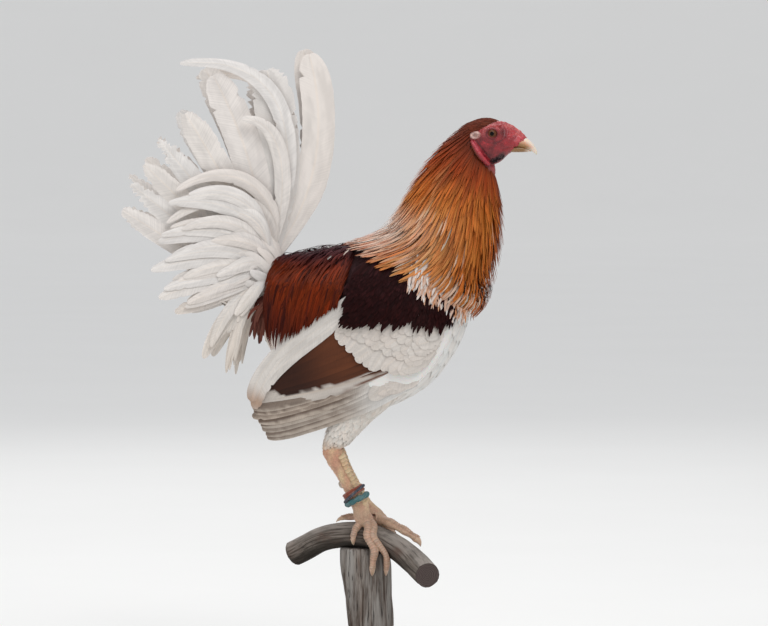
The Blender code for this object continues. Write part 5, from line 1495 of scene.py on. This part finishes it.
rng = np.random.default_rng(21)
s, angle = scattered(TORSO, 0.25, 8.95, lambda s: 4.9, rng, not_under_wing)
stops = blade_stops(6)
length = rng.uniform(0.85, 1.1, len(s))
end = np.maximum(0.02, s - length)
fall = np.sign(np.sin(angle)) * 0.10 * soft(np.cos(angle), -0.6, 0.6)
spines, outs, _, _ = along_form(TORSO, s, angle, end, angle + fall, stops, (-2.4, 0.45))
halves = 6.3 * rng.uniform(0.85, 1.15, len(s))[:, None] * blade_width(stops, 0.55, 0.5)
place = TORSO.at(s, angle)
colours = laid(
    markings(TORSO.at(s - length * 0.6, angle)),
    (toward(PLUM * 0.55, MAROON, rng.random(len(s))), soft(np.cos(angle), 0.25, 0.5) * soft(s, 0.2, 0.6)),
    (MAHOGANY * 0.8, soft(-place[:, 0], 80, 88) * soft(place[:, 2], 342, 354)),
)[:, None]
# Painted shade: each feather darkens towards its root, where the one before it lies over it, and the belly is
# darker and warmer underneath.
belly = soft(-np.cos(angle), 0.3, 0.9)[:, None, None] * soft(6.5 - s, 0, 3)[:, None, None]
colours = colours * np.linspace(0.80, 1.02, 6)[:, None] * (1 - 0.16 * belly * np.array((0.4, 1.0, 1.4)))
colours = shaken(colours, rng, 0.05, 0.03)
down_finish = plumage("body_plumes", 0.72, 0.9, 0.05, 1.6, 0.05, (1.0, 0.99, 0.97), 0.3, 0.05)
lay_blades(
    "body_feathers", spines, outs, halves, colours, unwrap_place(s, angle, 9), down_finish, "white_plumage",
    seed=3,
)

# Saddle
# Long pointed hackles that spring from the rear of the back and hang over both flanks and the
# root of the tail: plum on top, mahogany below, with dark shafts and rusty edges.

rng = np.random.default_rng(31)
number = 2700
s = 5.4 - 4.9 * rng.random(number) ** 0.9
hand = rng.choice((-1.0, 1.0), number)
angle = hand * 1.35 * rng.random(number) ** 1.15
roots = TORSO.at(s, angle)[:, ::2]
fall = np.stack([-rng.uniform(9, 24, number), -rng.uniform(34, 66, number)], 1)
on_ridge = soft(0.62 - np.abs(angle), 0.0, 0.45)[:, None]
fall = fall * (1 - on_ridge) + np.stack(
    [-rng.uniform(24, 42, number), -rng.uniform(7, 20, number)], 1,
) * on_ridge
ways = np.stack([roots, roots + fall * (0.78, 0.30), roots + fall], 1)
stops = blade_stops(9)
lift = 3.6 + 3.4 * rng.random(number)
# the saddle's hem over the wing, and its rear edge beside the tail (height first)
HEM = np.array(
    ((-104, 351), (-90, 356), (-83, 360), (-58, 375), (-34, 393), (-17, 405), (10, 420), (60, 430)),
).T
REAR_EDGE = np.array(
    ((350, -86), (359, -90), (368, -97), (386, -101), (407, -101.5), (427, -97), (450, -91)),
).T
rear_shift = rng.uniform(-2.0, 2.0, (number, 1))


def saddle_lines(t):
    """The saddle's spines: they leave the back rearwards, drape over the wings and end hanging down."""
    t = t[..., None]
    flat = ways[:, None, 0] * (1 - t) ** 2 + ways[:, None, 1] * 2 * t * (1 - t) + ways[:, None, 2] * t ** 2
    rear = np.interp(flat[..., 1], *REAR_EDGE) + rear_shift
    x, z = rear + 4.0 * np.log1p(np.exp(np.clip((flat[..., 0] - rear) / 4.0, -20, 20))), flat[..., 1]
    s_now, high = TORSO.locate(np.stack([x, x * 0, z], -1).reshape(-1, 3))
    high = np.clip(high, -1, 1)
    angle_now = np.arccos(np.sign(high) * np.abs(high) ** (1 / TORSO.power)).reshape(x.shape) * hand[:, None]
    s_now = s_now.reshape(x.shape)
    y = TORSO.at(s_now, angle_now)[..., 1]
    outs = TORSO.normal(s_now, angle_now)
    spines = np.stack([x, y, z], -1) + outs * (
        -3.0 + (lift[:, None] + 3.0) * soft(t[..., 0], -0.1, 0.8)
    )[..., None]
    y = np.abs(spines[..., 1])
    over = soft(440 - z, 0, 22) * soft(np.abs(angle_now), 0.6, 1.0) * soft(x, -106, -86) * soft(-x, 6, 22)
    sheet = wing_sheet(x, z) + 1.6 + 0.55 * lift[:, None]
    spines[..., 1] = np.sign(spines[..., 1]) * (y + np.maximum(0, sheet - y) * over)
    return spines, outs, s_now, angle_now, over


fine = np.linspace(0, 1, 21)
trial = saddle_lines(np.broadcast_to(fine, (number, 21)))[0]
below = trial[..., 2] < np.interp(trial[..., 0], *HEM) + rng.uniform(-3.0, 3.0, (number, 1))
stop_at = np.where(below.any(1), fine[below.argmax(1)], 1.0)
t = stops * stop_at[:, None]
spines, outs, s_now, angle_now, over = saddle_lines(t)
outs = unit(outs + over[..., None] * np.sign(spines[..., 1:2]) * (0.0, 1.2, 0.0))
halves = (1.9 * rng.uniform(0.75, 1.2, number))[:, None] * blade_width(stops, 0.35, 0.6) * (1 - 0.3 * stops)
plum = toward(PLUM, PLUM * (0.6, 0.5, 0.6), rng.random((number, 1)))
warm = toward(MAHOGANY, RUST * (0.62, 0.50, 0.45), rng.random((number, 1)) ** 1.6)
colours = laid(
    plum, (warm, soft(np.abs(angle_now), 0.35, 1.0) * soft(-s_now, -4.6, -3.2)),
    (MAROON, soft(s_now, 3.2, 4.6) * 0.95), (MAROON * 1.2, (rng.random((number, 1)) < 0.2) * 0.65),
    (MAROON * 1.6, soft(np.abs(angle_now), 1.35, 1.8) * 0.5),
    (CREAM * 0.85, ((rng.random((number, 1)) < 0.03) & (np.abs(angle)[:, None] < 0.3)) * soft(t, 0.5, 0.9)),
)
colours = shaken(colours, rng, 0.25, 0.10)
saddle_finish = plumage("saddle_plumes", 0.50, 1.2, 0.12, 2.6, 0.34, (0.45, 0.36, 0.36), 0.7, 0.0, 0.06)
some = stop_at > 0.4
lay_blades(
    "saddle", spines[some], outs[some], halves[some], colours[some], unwrap_place(s, angle, 9)[some],
    saddle_finish, "red_plumage", seed=4, slant=0.5,
)

# Thighs
# Soft white feathers that hang over the thighs like short trousers and end in a fringe at the hocks.

for side, word in ((-1, "right"), (1, "left")):
    rng = np.random.default_rng(40 + side)
    s, angle = scattered(THIGHS[side], 0.3, 4.75, lambda s: 4.6 - 0.25 * s, rng)
    stops = blade_stops(6)
    end = np.minimum(rng.uniform(4.5, 5.0, len(s)), s + rng.uniform(0.75, 1.0, len(s)))
    end = np.maximum(end, s + 0.15)
    lift = (-2.8, (0.2 - 2.0 * soft(end, 4.2, 5.0))[:, None])
    turn = rng.uniform(-0.1, 0.1, len(s))
    spines, outs, s_now, _ = along_form(THIGHS[side], s, angle, end, angle + turn, stops, lift)
    halves = (5.0 - 0.72 * s)[:, None] * rng.uniform(
        0.7, 1.15, len(s),
    )[:, None] * blade_width(stops, 0.4, 0.5)
    colours = laid(
        toward(WHITE, CREAM, 0.6),
        (BUFF, 0.12 + 0.88 * soft(s_now, 3.8, 5.0) * rng.uniform(0.2, 0.9, (len(s), 1))),
        (toward(LEG_PINK, LEG_YELLOW, 0.5), soft(s_now, 4.4, 5.0) * rng.uniform(0.2, 0.9, (len(s), 1))),
    )
    # Each feather darkens towards its root, where the one before it covers it: painted shade.
    colours = shaken(colours, rng, 0.06, 0.03) * np.linspace(0.78, 1.02, 6)[:, None]
    lay_blades(
        "thigh_feathers_" + word, spines, outs, halves, colours, unwrap_place(s, angle, 5), down_finish,
        "white_plumage", seed=5 + side,
    )

# Wings
# The folded wings show their feathers in tiers: long pale primaries below, secondaries that are
# bay outside and white at their lower edge, white tertials above them, white coverts, and the
# maroon shoulder of small pointed feathers, with white again at the very front.


def bent(ways, t):
    """Smooth curves that their rows of points pull into shape."""
    order = ways.shape[1] - 1
    weights = np.stack([math.comb(order, k) * (1 - t) ** (order - k) * t ** k for k in range(order + 1)], -1)
    return np.einsum("kn,mnd->mkd", weights, ways)


def spaced(first, last, shares):
    """Places between two others at the given shares of the way."""
    return np.asarray(first, float) + (np.asarray(last, float) - first) * np.asarray(shares)[:, None]


def on_wing(side, flat, offset):
    """Places on the wing's sheet, moved outwards, with the way out there."""
    x, z = flat[..., 0], flat[..., 1]
    slope_x = (wing_sheet(x + 1, z) - wing_sheet(x - 1, z)) / 2
    slope_z = (wing_sheet(x, z + 1) - wing_sheet(x, z - 1)) / 2
    outs = unit(np.stack([-slope_x, np.ones_like(x), -slope_z], -1)) * (1, side, 1)
    return np.stack([x, wing_sheet(x, z), z], -1) * (1, side, 1) + outs * offset[..., None], outs


def notched(halves, rng, often, deepest, ragged=0.03):
    """Vanes with a few splits between their barbs and a slightly uneven edge, on both sides."""
    halves = np.stack([halves, halves], -1)
    dips = np.ones_like(halves)
    hit = rng.random(halves.shape) < often
    depth = rng.uniform(0.25, 1.0, halves.shape) * deepest
    dips[hit] -= depth[hit]
    dips *= 1 - ragged * rng.random(halves.shape)
    dips[:, :2] = 1
    return halves * dips


def grid_places(number, size):
    """Cells of their own on the feathers' map, in rows."""
    across = int(math.ceil(math.sqrt(number)))
    k = np.arange(number)
    return np.stack(
        [(k % across + 0.5) / across, (k // across + 0.5) / across], -1,
    ), (size / across, size / across)


quill_finish = plumage("flight_feathers", 0.62, 1.1, 0.09, 1.9, 0.09, (1.04, 1.0, 0.95), 0.6, 0.04)
COVERT_BLADE = np.array((
    (-1, 0), (-0.68, 0.10), (-0.34, 0.16), (0, 0.22), (0.34, 0.16), (0.68, 0.10), (1, 0), (0.5, -0.1),
    (0, -0.16),
    (-0.5, -0.1),
))
# the lower edge of the bay on the closed wing, and the brown streak that runs on below it
BAY_EDGE = np.array(((-103, 311), (-81, 302), (-63, 305.5), (-20, 316.5), (21, 327), (46, 334)), float).T
BAY_STREAK = np.array(((-34, 299.5), (-3, 310.5), (21, 321.5), (46, 330.5)), float).T


def wing_feathers(
    side, word, name, ways, offsets, width, fullness, stops, colour_of, rng, slot="white_plumage", coat=None,
    section=SMALL_BLADE, notch=0.0, slant=0.25, camber=0.12, uneven=0.1, seed=1, point=0.0,
):
    """Lays a tier of feathers on a wing: their curves from its side, and what root and tip stand off."""
    flat = bent(ways, stops)
    spines, outs = on_wing(side, flat, offsets[:, :1] + (offsets[:, 1:] - offsets[:, :1]) * stops)
    profile = blade_width(stops, fullness, 0.5) * (1 - point * stops)
    half = np.broadcast_to(width, len(ways)) / 2 * rng.uniform(1 - uneven, 1 + uneven, len(ways))
    halves = half[:, None] * profile
    if notch:
        halves = notched(halves, rng, notch, 0.30)
    colours = colour_of(flat, rng, side)
    if section is SMALL_BLADE:
        places, patch = 0.02 + 0.96 * (flat[:, 0] - (-130, 230)) / (260, 220), SMALL_PATCH
    else:
        places, patch = grid_places(len(ways), 0.9)
    lay_blades(
        f"{name}_{word}", spines, outs, halves, colours, places, coat or quill_finish, slot, section, camber,
        slant,
        patch, seed,
    )


def upper_share(side):
    """How far across a wing feather's section each point lies, from -1 at its lower edge to 1."""
    return -side * LARGE_BLADE[:, 0]


def bay_web(flat, rng, side):
    """Secondaries: bay where the closed wing shows their outer webs, with white edges below."""
    number, stops = flat.shape[:2]
    x, share = flat[..., :1], upper_share(side)
    z = flat[..., 1:] + 9.5 * share
    shift = rng.uniform(-1.0, 1.0, (number, 1, 1)) + rng.uniform(-1.3, 1.3, (number, stops, 1))
    bay = soft(z - np.interp(x, *BAY_EDGE) + shift, -0.8, 0.8)
    streak = soft(2.4 - np.abs(z - np.interp(x, *BAY_STREAK)) + shift * 0.5, -0.4, 0.9) * soft(x, -34, 4)
    darker = soft(-x - 0.45 * (z - 300), -5, 62)
    brown = toward(BAY * (0.86, 0.68, 0.56), BAY * (0.26, 0.18, 0.15), darker)
    # Each brown web darkens towards its upper part, as painted shadow under the next feather.
    brown = brown * (
        1 + 0.16 * rng.uniform(-1, 1, (number, 1, 1, 1))
    ) * (1 - 0.30 * soft(share, -0.3, 0.7))[:, None]
    edge = soft(share, -0.4, 0.5) * rng.uniform(0.3, 0.8, (number, 1, 1))
    return toward(
        toward(WHITE * (0.70, 0.65, 0.61), BUFF * (0.54, 0.44, 0.38), edge), brown, np.maximum(bay, streak),
    )


def primary_web(flat, rng, side):
    """Primaries: a white lower edge, with painted shadow under the next feather."""
    number, stops = flat.shape[:2]
    far_out = soft(30.0 - flat[..., :1], 0.0, 60.0)
    start = rng.uniform(-1.05, -0.66, (number, 1, 1)) + 0.15 * rng.uniform(-1, 1, (number, stops, 1))
    under = soft(upper_share(side) - start, 0.0, 0.40) * rng.uniform(0.5, 1.0, (number, 1, 1)) * far_out
    # Warm grey towards the tips, partly the feathers' own colour and partly painted shade; the dark band where
    # the next feather covers each one is painted shadow.
    return laid(
        WHITE * 0.90, (WHITE * (0.60, 0.53, 0.47), far_out),
        (BUFF * 0.8, rng.random((number, 1, 1)) * 0.35 * far_out),
        (np.array((0.11, 0.072, 0.053)), under),
    )


def plain_web(colour, other, share):
    """One colour, with some of the other in every feather."""
    def colours(flat, rng, side):
        return shaken(toward(colour, other, rng.random((len(flat), 1)) * share), rng, 0.03, 0.015)
    return colours


def tertial_web(flat, rng, side):
    """White, with a buff stain near the tips."""
    stain = bell(flat[..., 0] + 112, 9, flat[..., 1] - 296, 12) * 0.8
    return toward(WHITE * (0.82, 0.785, 0.76), BUFF * (0.6, 0.46, 0.36), stain)


def bow_web(flat, rng, side):
    """Maroon, with a little plum higher up as a painted purple sheen, and some darker feathers."""
    colour = toward(MAROON, PLUM * 0.6, soft(flat[..., 1], 388, 424) * 0.45 * rng.random((len(flat), 1)))
    return shaken(toward(colour, MAROON * 0.5, rng.random((len(flat), 1)) * 0.8), rng, 0.25, 0.1)


for side, word in ((-1, "right"), (1, "left")):
    rng = np.random.default_rng(50 + side)
    # Lowest and highest feather of a tier: roots, middles, tips, what they stand off, and its growth
    for name, number, roots, middles, ends, stand_off, growth, width, fullness, web, notch, seed in (
        ("primaries", 8, ((66, 318), (34, 344)), ((-6, 280), (-18, 306)), ((-102, 251), (-119, 287)),
         (-10, -11), (4.0, 6.6), 17, 0.84, primary_web, 0.03, 51),
        ("secondaries", 11, ((34, 332), (4, 398)), ((-46, 300), (-44, 370)), ((-117, 296), (-90, 337)),
         (-5.0, -4.4), (3.2, 5.0), 19, 0.86, bay_web, 0.07, 53),
    ):
        shares = np.linspace(0, 1, number)
        tips = spaced(*ends, shares) + np.stack([rng.uniform(-3, 3, number), rng.uniform(-1, 1, number)], 1)
        ways = np.stack([spaced(*roots, shares), spaced(*middles, shares), tips], 1)
        wing_feathers(
            side, word, name, ways, stand_off + np.outer(shares, growth), width, fullness, blade_stops(34),
            web, rng,
            section=LARGE_BLADE, notch=notch, slant=-0.3, uneven=0.06, seed=seed,
        )
    ways = np.array((
        ((6, 400), (-40, 366), (-88, 338), (-106, 304)), ((8, 408), (-46, 372), (-103, 337), (-112, 288)),
        ((4, 416), (-50, 378), (-110, 342), (-115, 296)),
    ), float)
    offsets = np.array(((-0.8, 2.2), (-0.3, 2.8), (0.2, 3.4)))
    wing_feathers(
        side, word, "tertials", ways, offsets, (14, 15, 15), 0.88, blade_stops(40), tertial_web, rng,
        section=LARGE_BLADE, notch=0.08, slant=-0.3, uneven=0.03, seed=55,
    )
    # White coverts, in tiers over one another: first and last tip, number, length, rise, lift, width
    ways, offsets, widths = [], [], []
    for first, last, number, length, rise, lift, width in (
        ((50, 316), (14, 300), 5, 42, 21, -6.0, 13), ((54, 333), (18, 329), 5, 34, 26, 0.1, 13),
        ((12, 331), (-23, 363), 7, 34, 28, -0.2, 13), ((60, 338), (-20, 372), 12, 32, 26, 0.4, 13),
        ((64, 345), (-14, 379), 11, 30, 24, 0.9, 13), ((68, 352), (8, 381), 9, 28, 22, 1.4, 12.5),
        ((74, 359), (26, 382), 8, 26, 20, 1.8, 12), ((80, 367), (46, 384), 6, 22, 18, 2.2, 11.5),
        ((86, 376), (64, 386), 4, 18, 16, 2.6, 11), ((90, 386), (82, 391), 2, 14, 14, 3.0, 10),
    ):
        shares = np.linspace(0, 1, number)
        tips = spaced(first, last, shares) + rng.uniform(-2.0, 2.0, (number, 2))
        reach = np.stack(
            [length - 8 * shares, rise * (0.8 + 0.5 * shares)], 1,
        ) * rng.uniform(0.85, 1.1, (number, 1))
        sway = rng.uniform(-0.16, 0.16, number)
        reach = np.stack([reach[:, 0] - sway * reach[:, 1], reach[:, 1] + sway * reach[:, 0]], 1)
        roots = tips + reach
        front = np.interp(roots[:, 1], (287, 302, 317, 337, 357, 383, 406), (24, 44, 64, 79, 87, 97, 100))
        shift = np.minimum(0.0, front - roots[:, 0])
        roots[:, 0] += shift
        tips[:, 0] += shift
        ways.append(np.stack([roots, (roots + tips) / 2 + (1.0, -3.0), tips], 1))
        shake = rng.uniform(-0.15, 0.15, number)
        offsets.append(np.stack([lift - 2.2 + shake, lift + shake], 1))
        widths.append(1.3 * width * rng.uniform(0.85, 1.15, number))
    ways, offsets, widths = (np.concatenate(parts) for parts in (ways, offsets, widths))
    wing_feathers(
        side, word, "white_coverts", ways, offsets, widths, 0.55, blade_stops(20),
        plain_web(WHITE * (0.82, 0.765, 0.73), CREAM * 0.8, 0.35), rng, section=COVERT_BLADE, notch=0.12,
        slant=-0.1,
        camber=0.05, seed=57,
    )
    # Maroon shoulder, with ragged teeth over the white coverts
    number = 900
    tips = np.stack([rng.uniform(-22, 103, number), rng.uniform(0, 1, number)], 1)
    low = np.interp(tips[:, 0], (-22, -8, 20, 60, 84, 96, 103), (376, 371, 375, 371, 369, 376, 390))
    low += 4.6 * np.cos(tips[:, 0] * 0.55 + 0.9 * np.sin(tips[:, 0] / 7.0))
    high = np.interp(tips[:, 0], (50, 64, 84, 97, 106), (432, 420, 408, 398, 390))
    tips[:, 1] = low + (high - low) * tips[:, 1] ** 0.9
    tips[:, 0] += soft(12.0 - tips[:, 0], 0, 34) * (8 * rng.random(number) + 0.13 * (tips[:, 1] - 376))
    length = rng.uniform(16, 25, number)
    lean = np.interp(tips[:, 0], (-22, 104), (0.75, 0.24)) + rng.uniform(-0.15, 0.15, number)
    roots = tips + np.stack([length * lean, length * np.sqrt(np.clip(1 - lean ** 2, 0.1, 1))], 1)
    ways = np.stack([roots, (roots + tips) / 2 + (-1.5, 0.5), tips], 1)
    rise = 4.0 + 2.4 * (440 - tips[:, 1]) / 70
    wing_feathers(
        side, word, "maroon_shoulder", ways, np.stack([rise - 4.5, rise], 1), 5.2, 0.38, blade_stops(7),
        bow_web, rng,
        "red_plumage", saddle_finish, slant=0.5, uneven=0.25, seed=59, point=0.3,
    )
    # Cream and white feathers that part the shoulder from the hackle
    number = 130
    tips = spaced((60, 425), (112, 384), rng.random(number)) + rng.uniform(-13, 6, (number, 1)) * (0.6, 0.8)
    length = rng.uniform(18, 34, number)
    roots = tips + np.stack([length * rng.uniform(0.0, 0.5, number), length * 0.9], 1)
    ways = np.stack([roots, (roots + tips) / 2 + (-1.0, 0.0), tips], 1)
    offsets = np.stack([np.full(number, 2.0), rng.uniform(5.6, 7.6, number)], 1)
    wing_feathers(
        side, word, "shoulder_edge", ways, offsets, 4.4, 0.42, blade_stops(8),
        plain_web(WHITE * 0.86, ORANGE * (1.1, 1.5, 3.0), 0.95), rng, slant=0.4, uneven=0.3, seed=61,
        point=0.4,
    )

# Tail
# A high spread fan of long white feathers in two ranks, two pairs of arched sickles over them,
# and curved white hangers and coverts that fall over its root. A few ends are frayed, as on a
# bird that has worn them for a season.

TAIL_FAN = (
    ((-60, 668), (-28, 545), 36, 5, 0.0), ((-106, 651), (-82, 560), 46, 8, 0.35),
    ((-164, 645), (-112, 550), 38, 12, 0.1),
    ((-194, 604), (-140, 520), 32, 16, 0.3), ((-222, 576), (-158, 500), 25, 20, 1.0),
    ((-238, 549), (-168, 482), 25, 23, 0.4),
    ((-252, 528), (-176, 466), 24, 25, 1.0), ((-261, 500), (-182, 448), 24, 27, 0.4),
)
HANGERS = (
    ((-100, 452), (-118, 532), (-200, 514), 30, 32), ((-104, 444), (-136, 498), (-214, 476), 32, 37),
    ((-106, 438), (-148, 468), (-219, 444), 32, 38), ((-108, 432), (-154, 442), (-214, 417), 32, 37),
    ((-110, 426), (-146, 420), (-194, 398), 30, 33), ((-112, 422), (-146, 402), (-166, 350), 28, 28),
    ((-112, 418), (-134, 392), (-144, 326), 17, 24),
)
COVERTS = (
    ((-104, 460), (-114, 492), (-160, 500), 28, 23), ((-102, 450), (-128, 470), (-174, 462), 28, 29),
    ((-106, 440), (-128, 442), (-166, 420), 28, 31), ((-106, 426), (-120, 412), (-140, 378), 26, 27),
)


def lean_out(flat, side, first, last, bow, stops):
    """Tail feathers' lines, which stand further out from the middle towards their tips."""
    y = first[:, None] + (last - first)[:, None] * stops + bow * np.sin(math.pi * stops)
    return np.stack([flat[..., 0], np.broadcast_to(side * y, flat.shape[:2]), flat[..., 1]], -1)


def tail_colour(spines, rng):
    """White with a little cream, more of it lower down."""
    tint = 0.15 + 0.35 * rng.random((len(spines), 1))
    low = soft(-spines[..., 2], -440, -340)
    colour = laid(
        WHITE * (0.97, 0.96, 0.97), (CREAM * (1.02, 0.97, 0.95), tint),
        (CREAM * (0.98, 0.94, 0.90), low * 0.6),
    )
    return shaken(colour, rng, 0.02, 0.01)


def lay_tail(name, spines, way_out, halves, rng, camber, slant, seed):
    """Lays large tail feathers, each with a cell of its own on the map."""
    places, patch = grid_places(len(spines), 0.9)
    lay_blades(
        name, spines, unit(np.array(way_out)), halves, tail_colour(spines, rng), places, quill_finish,
        "white_plumage",
        LARGE_BLADE, camber, slant, patch, seed,
    )


for side, word in ((-1, "right"), (1, "left")):
    rng = np.random.default_rng(70 + side)
    stops = blade_stops(60)
    tips, middles, widths, spread_to, frays = (np.array(column, float) for column in zip(*TAIL_FAN))
    number = len(TAIL_FAN)
    k = np.arange(number)
    ways = np.stack([spaced((-101, 449), (-122, 418), k / (number - 1)), middles, tips], 1)
    if side > 0:
        ways[:, 2] += np.stack([-rng.uniform(6, 16, number), rng.uniform(-4, 10, number)], 1)
    spines = lean_out(bent(ways, stops), side, 2 + 1.3 * k, spread_to, 0.0, stops)
    halves = notched(widths[:, None] / 2 * blade_width(stops, 0.80, 0.4), rng, 0.05, 0.30)
    frayed = frays[:, None, None] * soft(stops, 0.72, 0.95)[:, None]
    halves *= 1 - frayed * rng.uniform(0.0, 0.75, halves.shape)
    lay_tail("tail_fan_" + word, spines, (0.05, side, 0.10), halves, rng, 0.06, -0.45, 71)
    # Sickles
    ways = np.array((
        ((-103, 455), (-66, 565), (-72, 672), (-200, 658)),
        ((-103, 455), (-78, 525), (-84, 602), (-131, 598)),
        ((-104, 452), (-80, 512), (-138, 566), (-202, 521)),
        ((-104, 450), (-88, 498), (-140, 540), (-212, 486)),
    ), float)
    if side > 0:
        ways[:, 3] += (12, -16)
    spines = lean_out(
        bent(ways, stops), side, np.full(4, 5.0), np.array((17.0, 22.0, 27.0, 31.0)), 0.0, stops,
    )
    halves = np.array((20, 18, 17, 17))[:, None] / 2 * (0.5 + 0.5 * soft(stops, 0, 0.3)) * (
        1 - 0.55 * soft(stops, 0.55, 1.0)
    )
    halves *= np.sqrt(np.clip(1 - (np.maximum(0, stops - 0.93) / 0.07) ** 2, 0, 1))
    lay_tail(
        "sickles_" + word, spines, (0.0, side, 0.15), notched(halves, rng, 0.04, 0.25), rng, 0.06, -0.45, 72,
    )
    # Hangers and coverts: each is a small sheaf of narrower feathers
    ways, widths, near, far, pointed = [], [], [], [], []
    for rank, (group, copies) in enumerate(((HANGERS, 6), (COVERTS, 7))):
        for k, row in enumerate(group):
            *line, width, spread_at = row
            for copy in range(copies):
                share = copy / (copies - 1) - 0.5
                shorten = 1 - (0.22 if rank else 0.12) * rng.random()
                way = np.array(line, float)
                way[1:] += rng.uniform(-3, 3, (2, 2)) + (np.array((0.8, 1.0)) * share * 0.6 * width)
                way[2] = way[0] + (way[2] - way[0]) * (shorten if copy else 1.0)
                ways.append(way)
                widths.append(width * (0.46 if copy else 0.62))
                near.append(11 + 0.9 * k + 2.5 * rank + 1.2 * copy / copies)
                far.append(spread_at + rng.uniform(-4, 2))
                pointed.append([row is HANGERS[-1]])
    stops = blade_stops(28)
    spines = lean_out(bent(np.array(ways), stops), side, np.array(near), np.array(far), 3.0, stops)
    profile = np.where(pointed, blade_width(stops, 0.25, 0.6), blade_width(stops, 0.50, 0.5))
    halves = notched(np.array(widths)[:, None] / 2 * profile, rng, 0.05, 0.25)
    lay_tail("tail_coverts_" + word, spines, (0.0, side, 0.1), halves, rng, 0.10, -0.4, 73)
    # Short coverts grow all round the tail's root, and the last of them close over its end.
    low, high = (0.05, 3.09) if side < 0 else (-3.09, -0.05)
    s, angle = scattered(STUMP, 0.05, 3.8, lambda s: 6.5, rng, low=low, high=high)
    end = s + rng.uniform(1.5, 2.6, len(s))
    past = np.maximum(0, end - 3.95)[:, None]
    stops = blade_stops(12)
    turn = rng.uniform(-0.1, 0.1, len(s))
    spines, outs, _, _ = along_form(STUMP, s, angle, np.minimum(3.95, end), angle + turn, stops, (-2.5, 3.4))
    way, middle = unit(STUMP.at(3.9, 0) - STUMP.at(2.9, 0)), (STUMP.at(3.9, 0) + STUMP.at(3.9, math.pi)) / 2
    off = spines - middle
    off -= way * (off @ way)[..., None]
    inward = np.minimum(past * 0.6, 0.85)[..., None] * stops[:, None] ** 1.3
    spines += (past * 15 * stops ** 1.6)[..., None] * way - off * inward
    halves = 5.2 * rng.uniform(0.8, 1.15, len(s))[:, None] * blade_width(stops, 0.55, 0.5)
    halves = notched(halves, rng, 0.08, 0.25)
    lay_blades(
        "tail_root_" + word, spines, outs, halves, tail_colour(spines, rng), unwrap_place(s, angle, 4),
        down_finish,
        "white_plumage", COVERT_BLADE, 0.10, -0.1, seed=74,
    )
    # Loose dark red plumes hang between saddle and tail.
    number = 70
    roots = np.stack([rng.uniform(-110, -98, number), rng.uniform(386, 408, number)], 1)
    tips = roots + np.stack([rng.uniform(-15, -4, number), rng.uniform(-34, -14, number)], 1)
    ways = np.stack([roots, (roots + tips) / 2 + (-4.0, 4.0), tips], 1)
    stops = blade_stops(9)
    near = rng.uniform(8, 34, number)
    spines = lean_out(bent(ways, stops), side, near, near + rng.uniform(0, 5, number), 0.0, stops)
    halves = 2.0 * rng.uniform(0.7, 1.2, number)[:, None] * blade_width(stops, 0.4, 0.6)
    tint = toward(WINE * (0.7, 1.6, 1.0), BUFF * (0.4, 0.22, 0.2), rng.random(number) * 0.6)
    places, patch = grid_places(number, 0.9)
    lay_blades(
        "red_fluff_" + word, spines, unit(np.array((0.0, side, 0.1))), halves,
        shaken(tint[:, None], rng, 0.2, 0.1),
        places, saddle_finish, "red_plumage", slant=0.4, patch=patch, seed=75,
    )
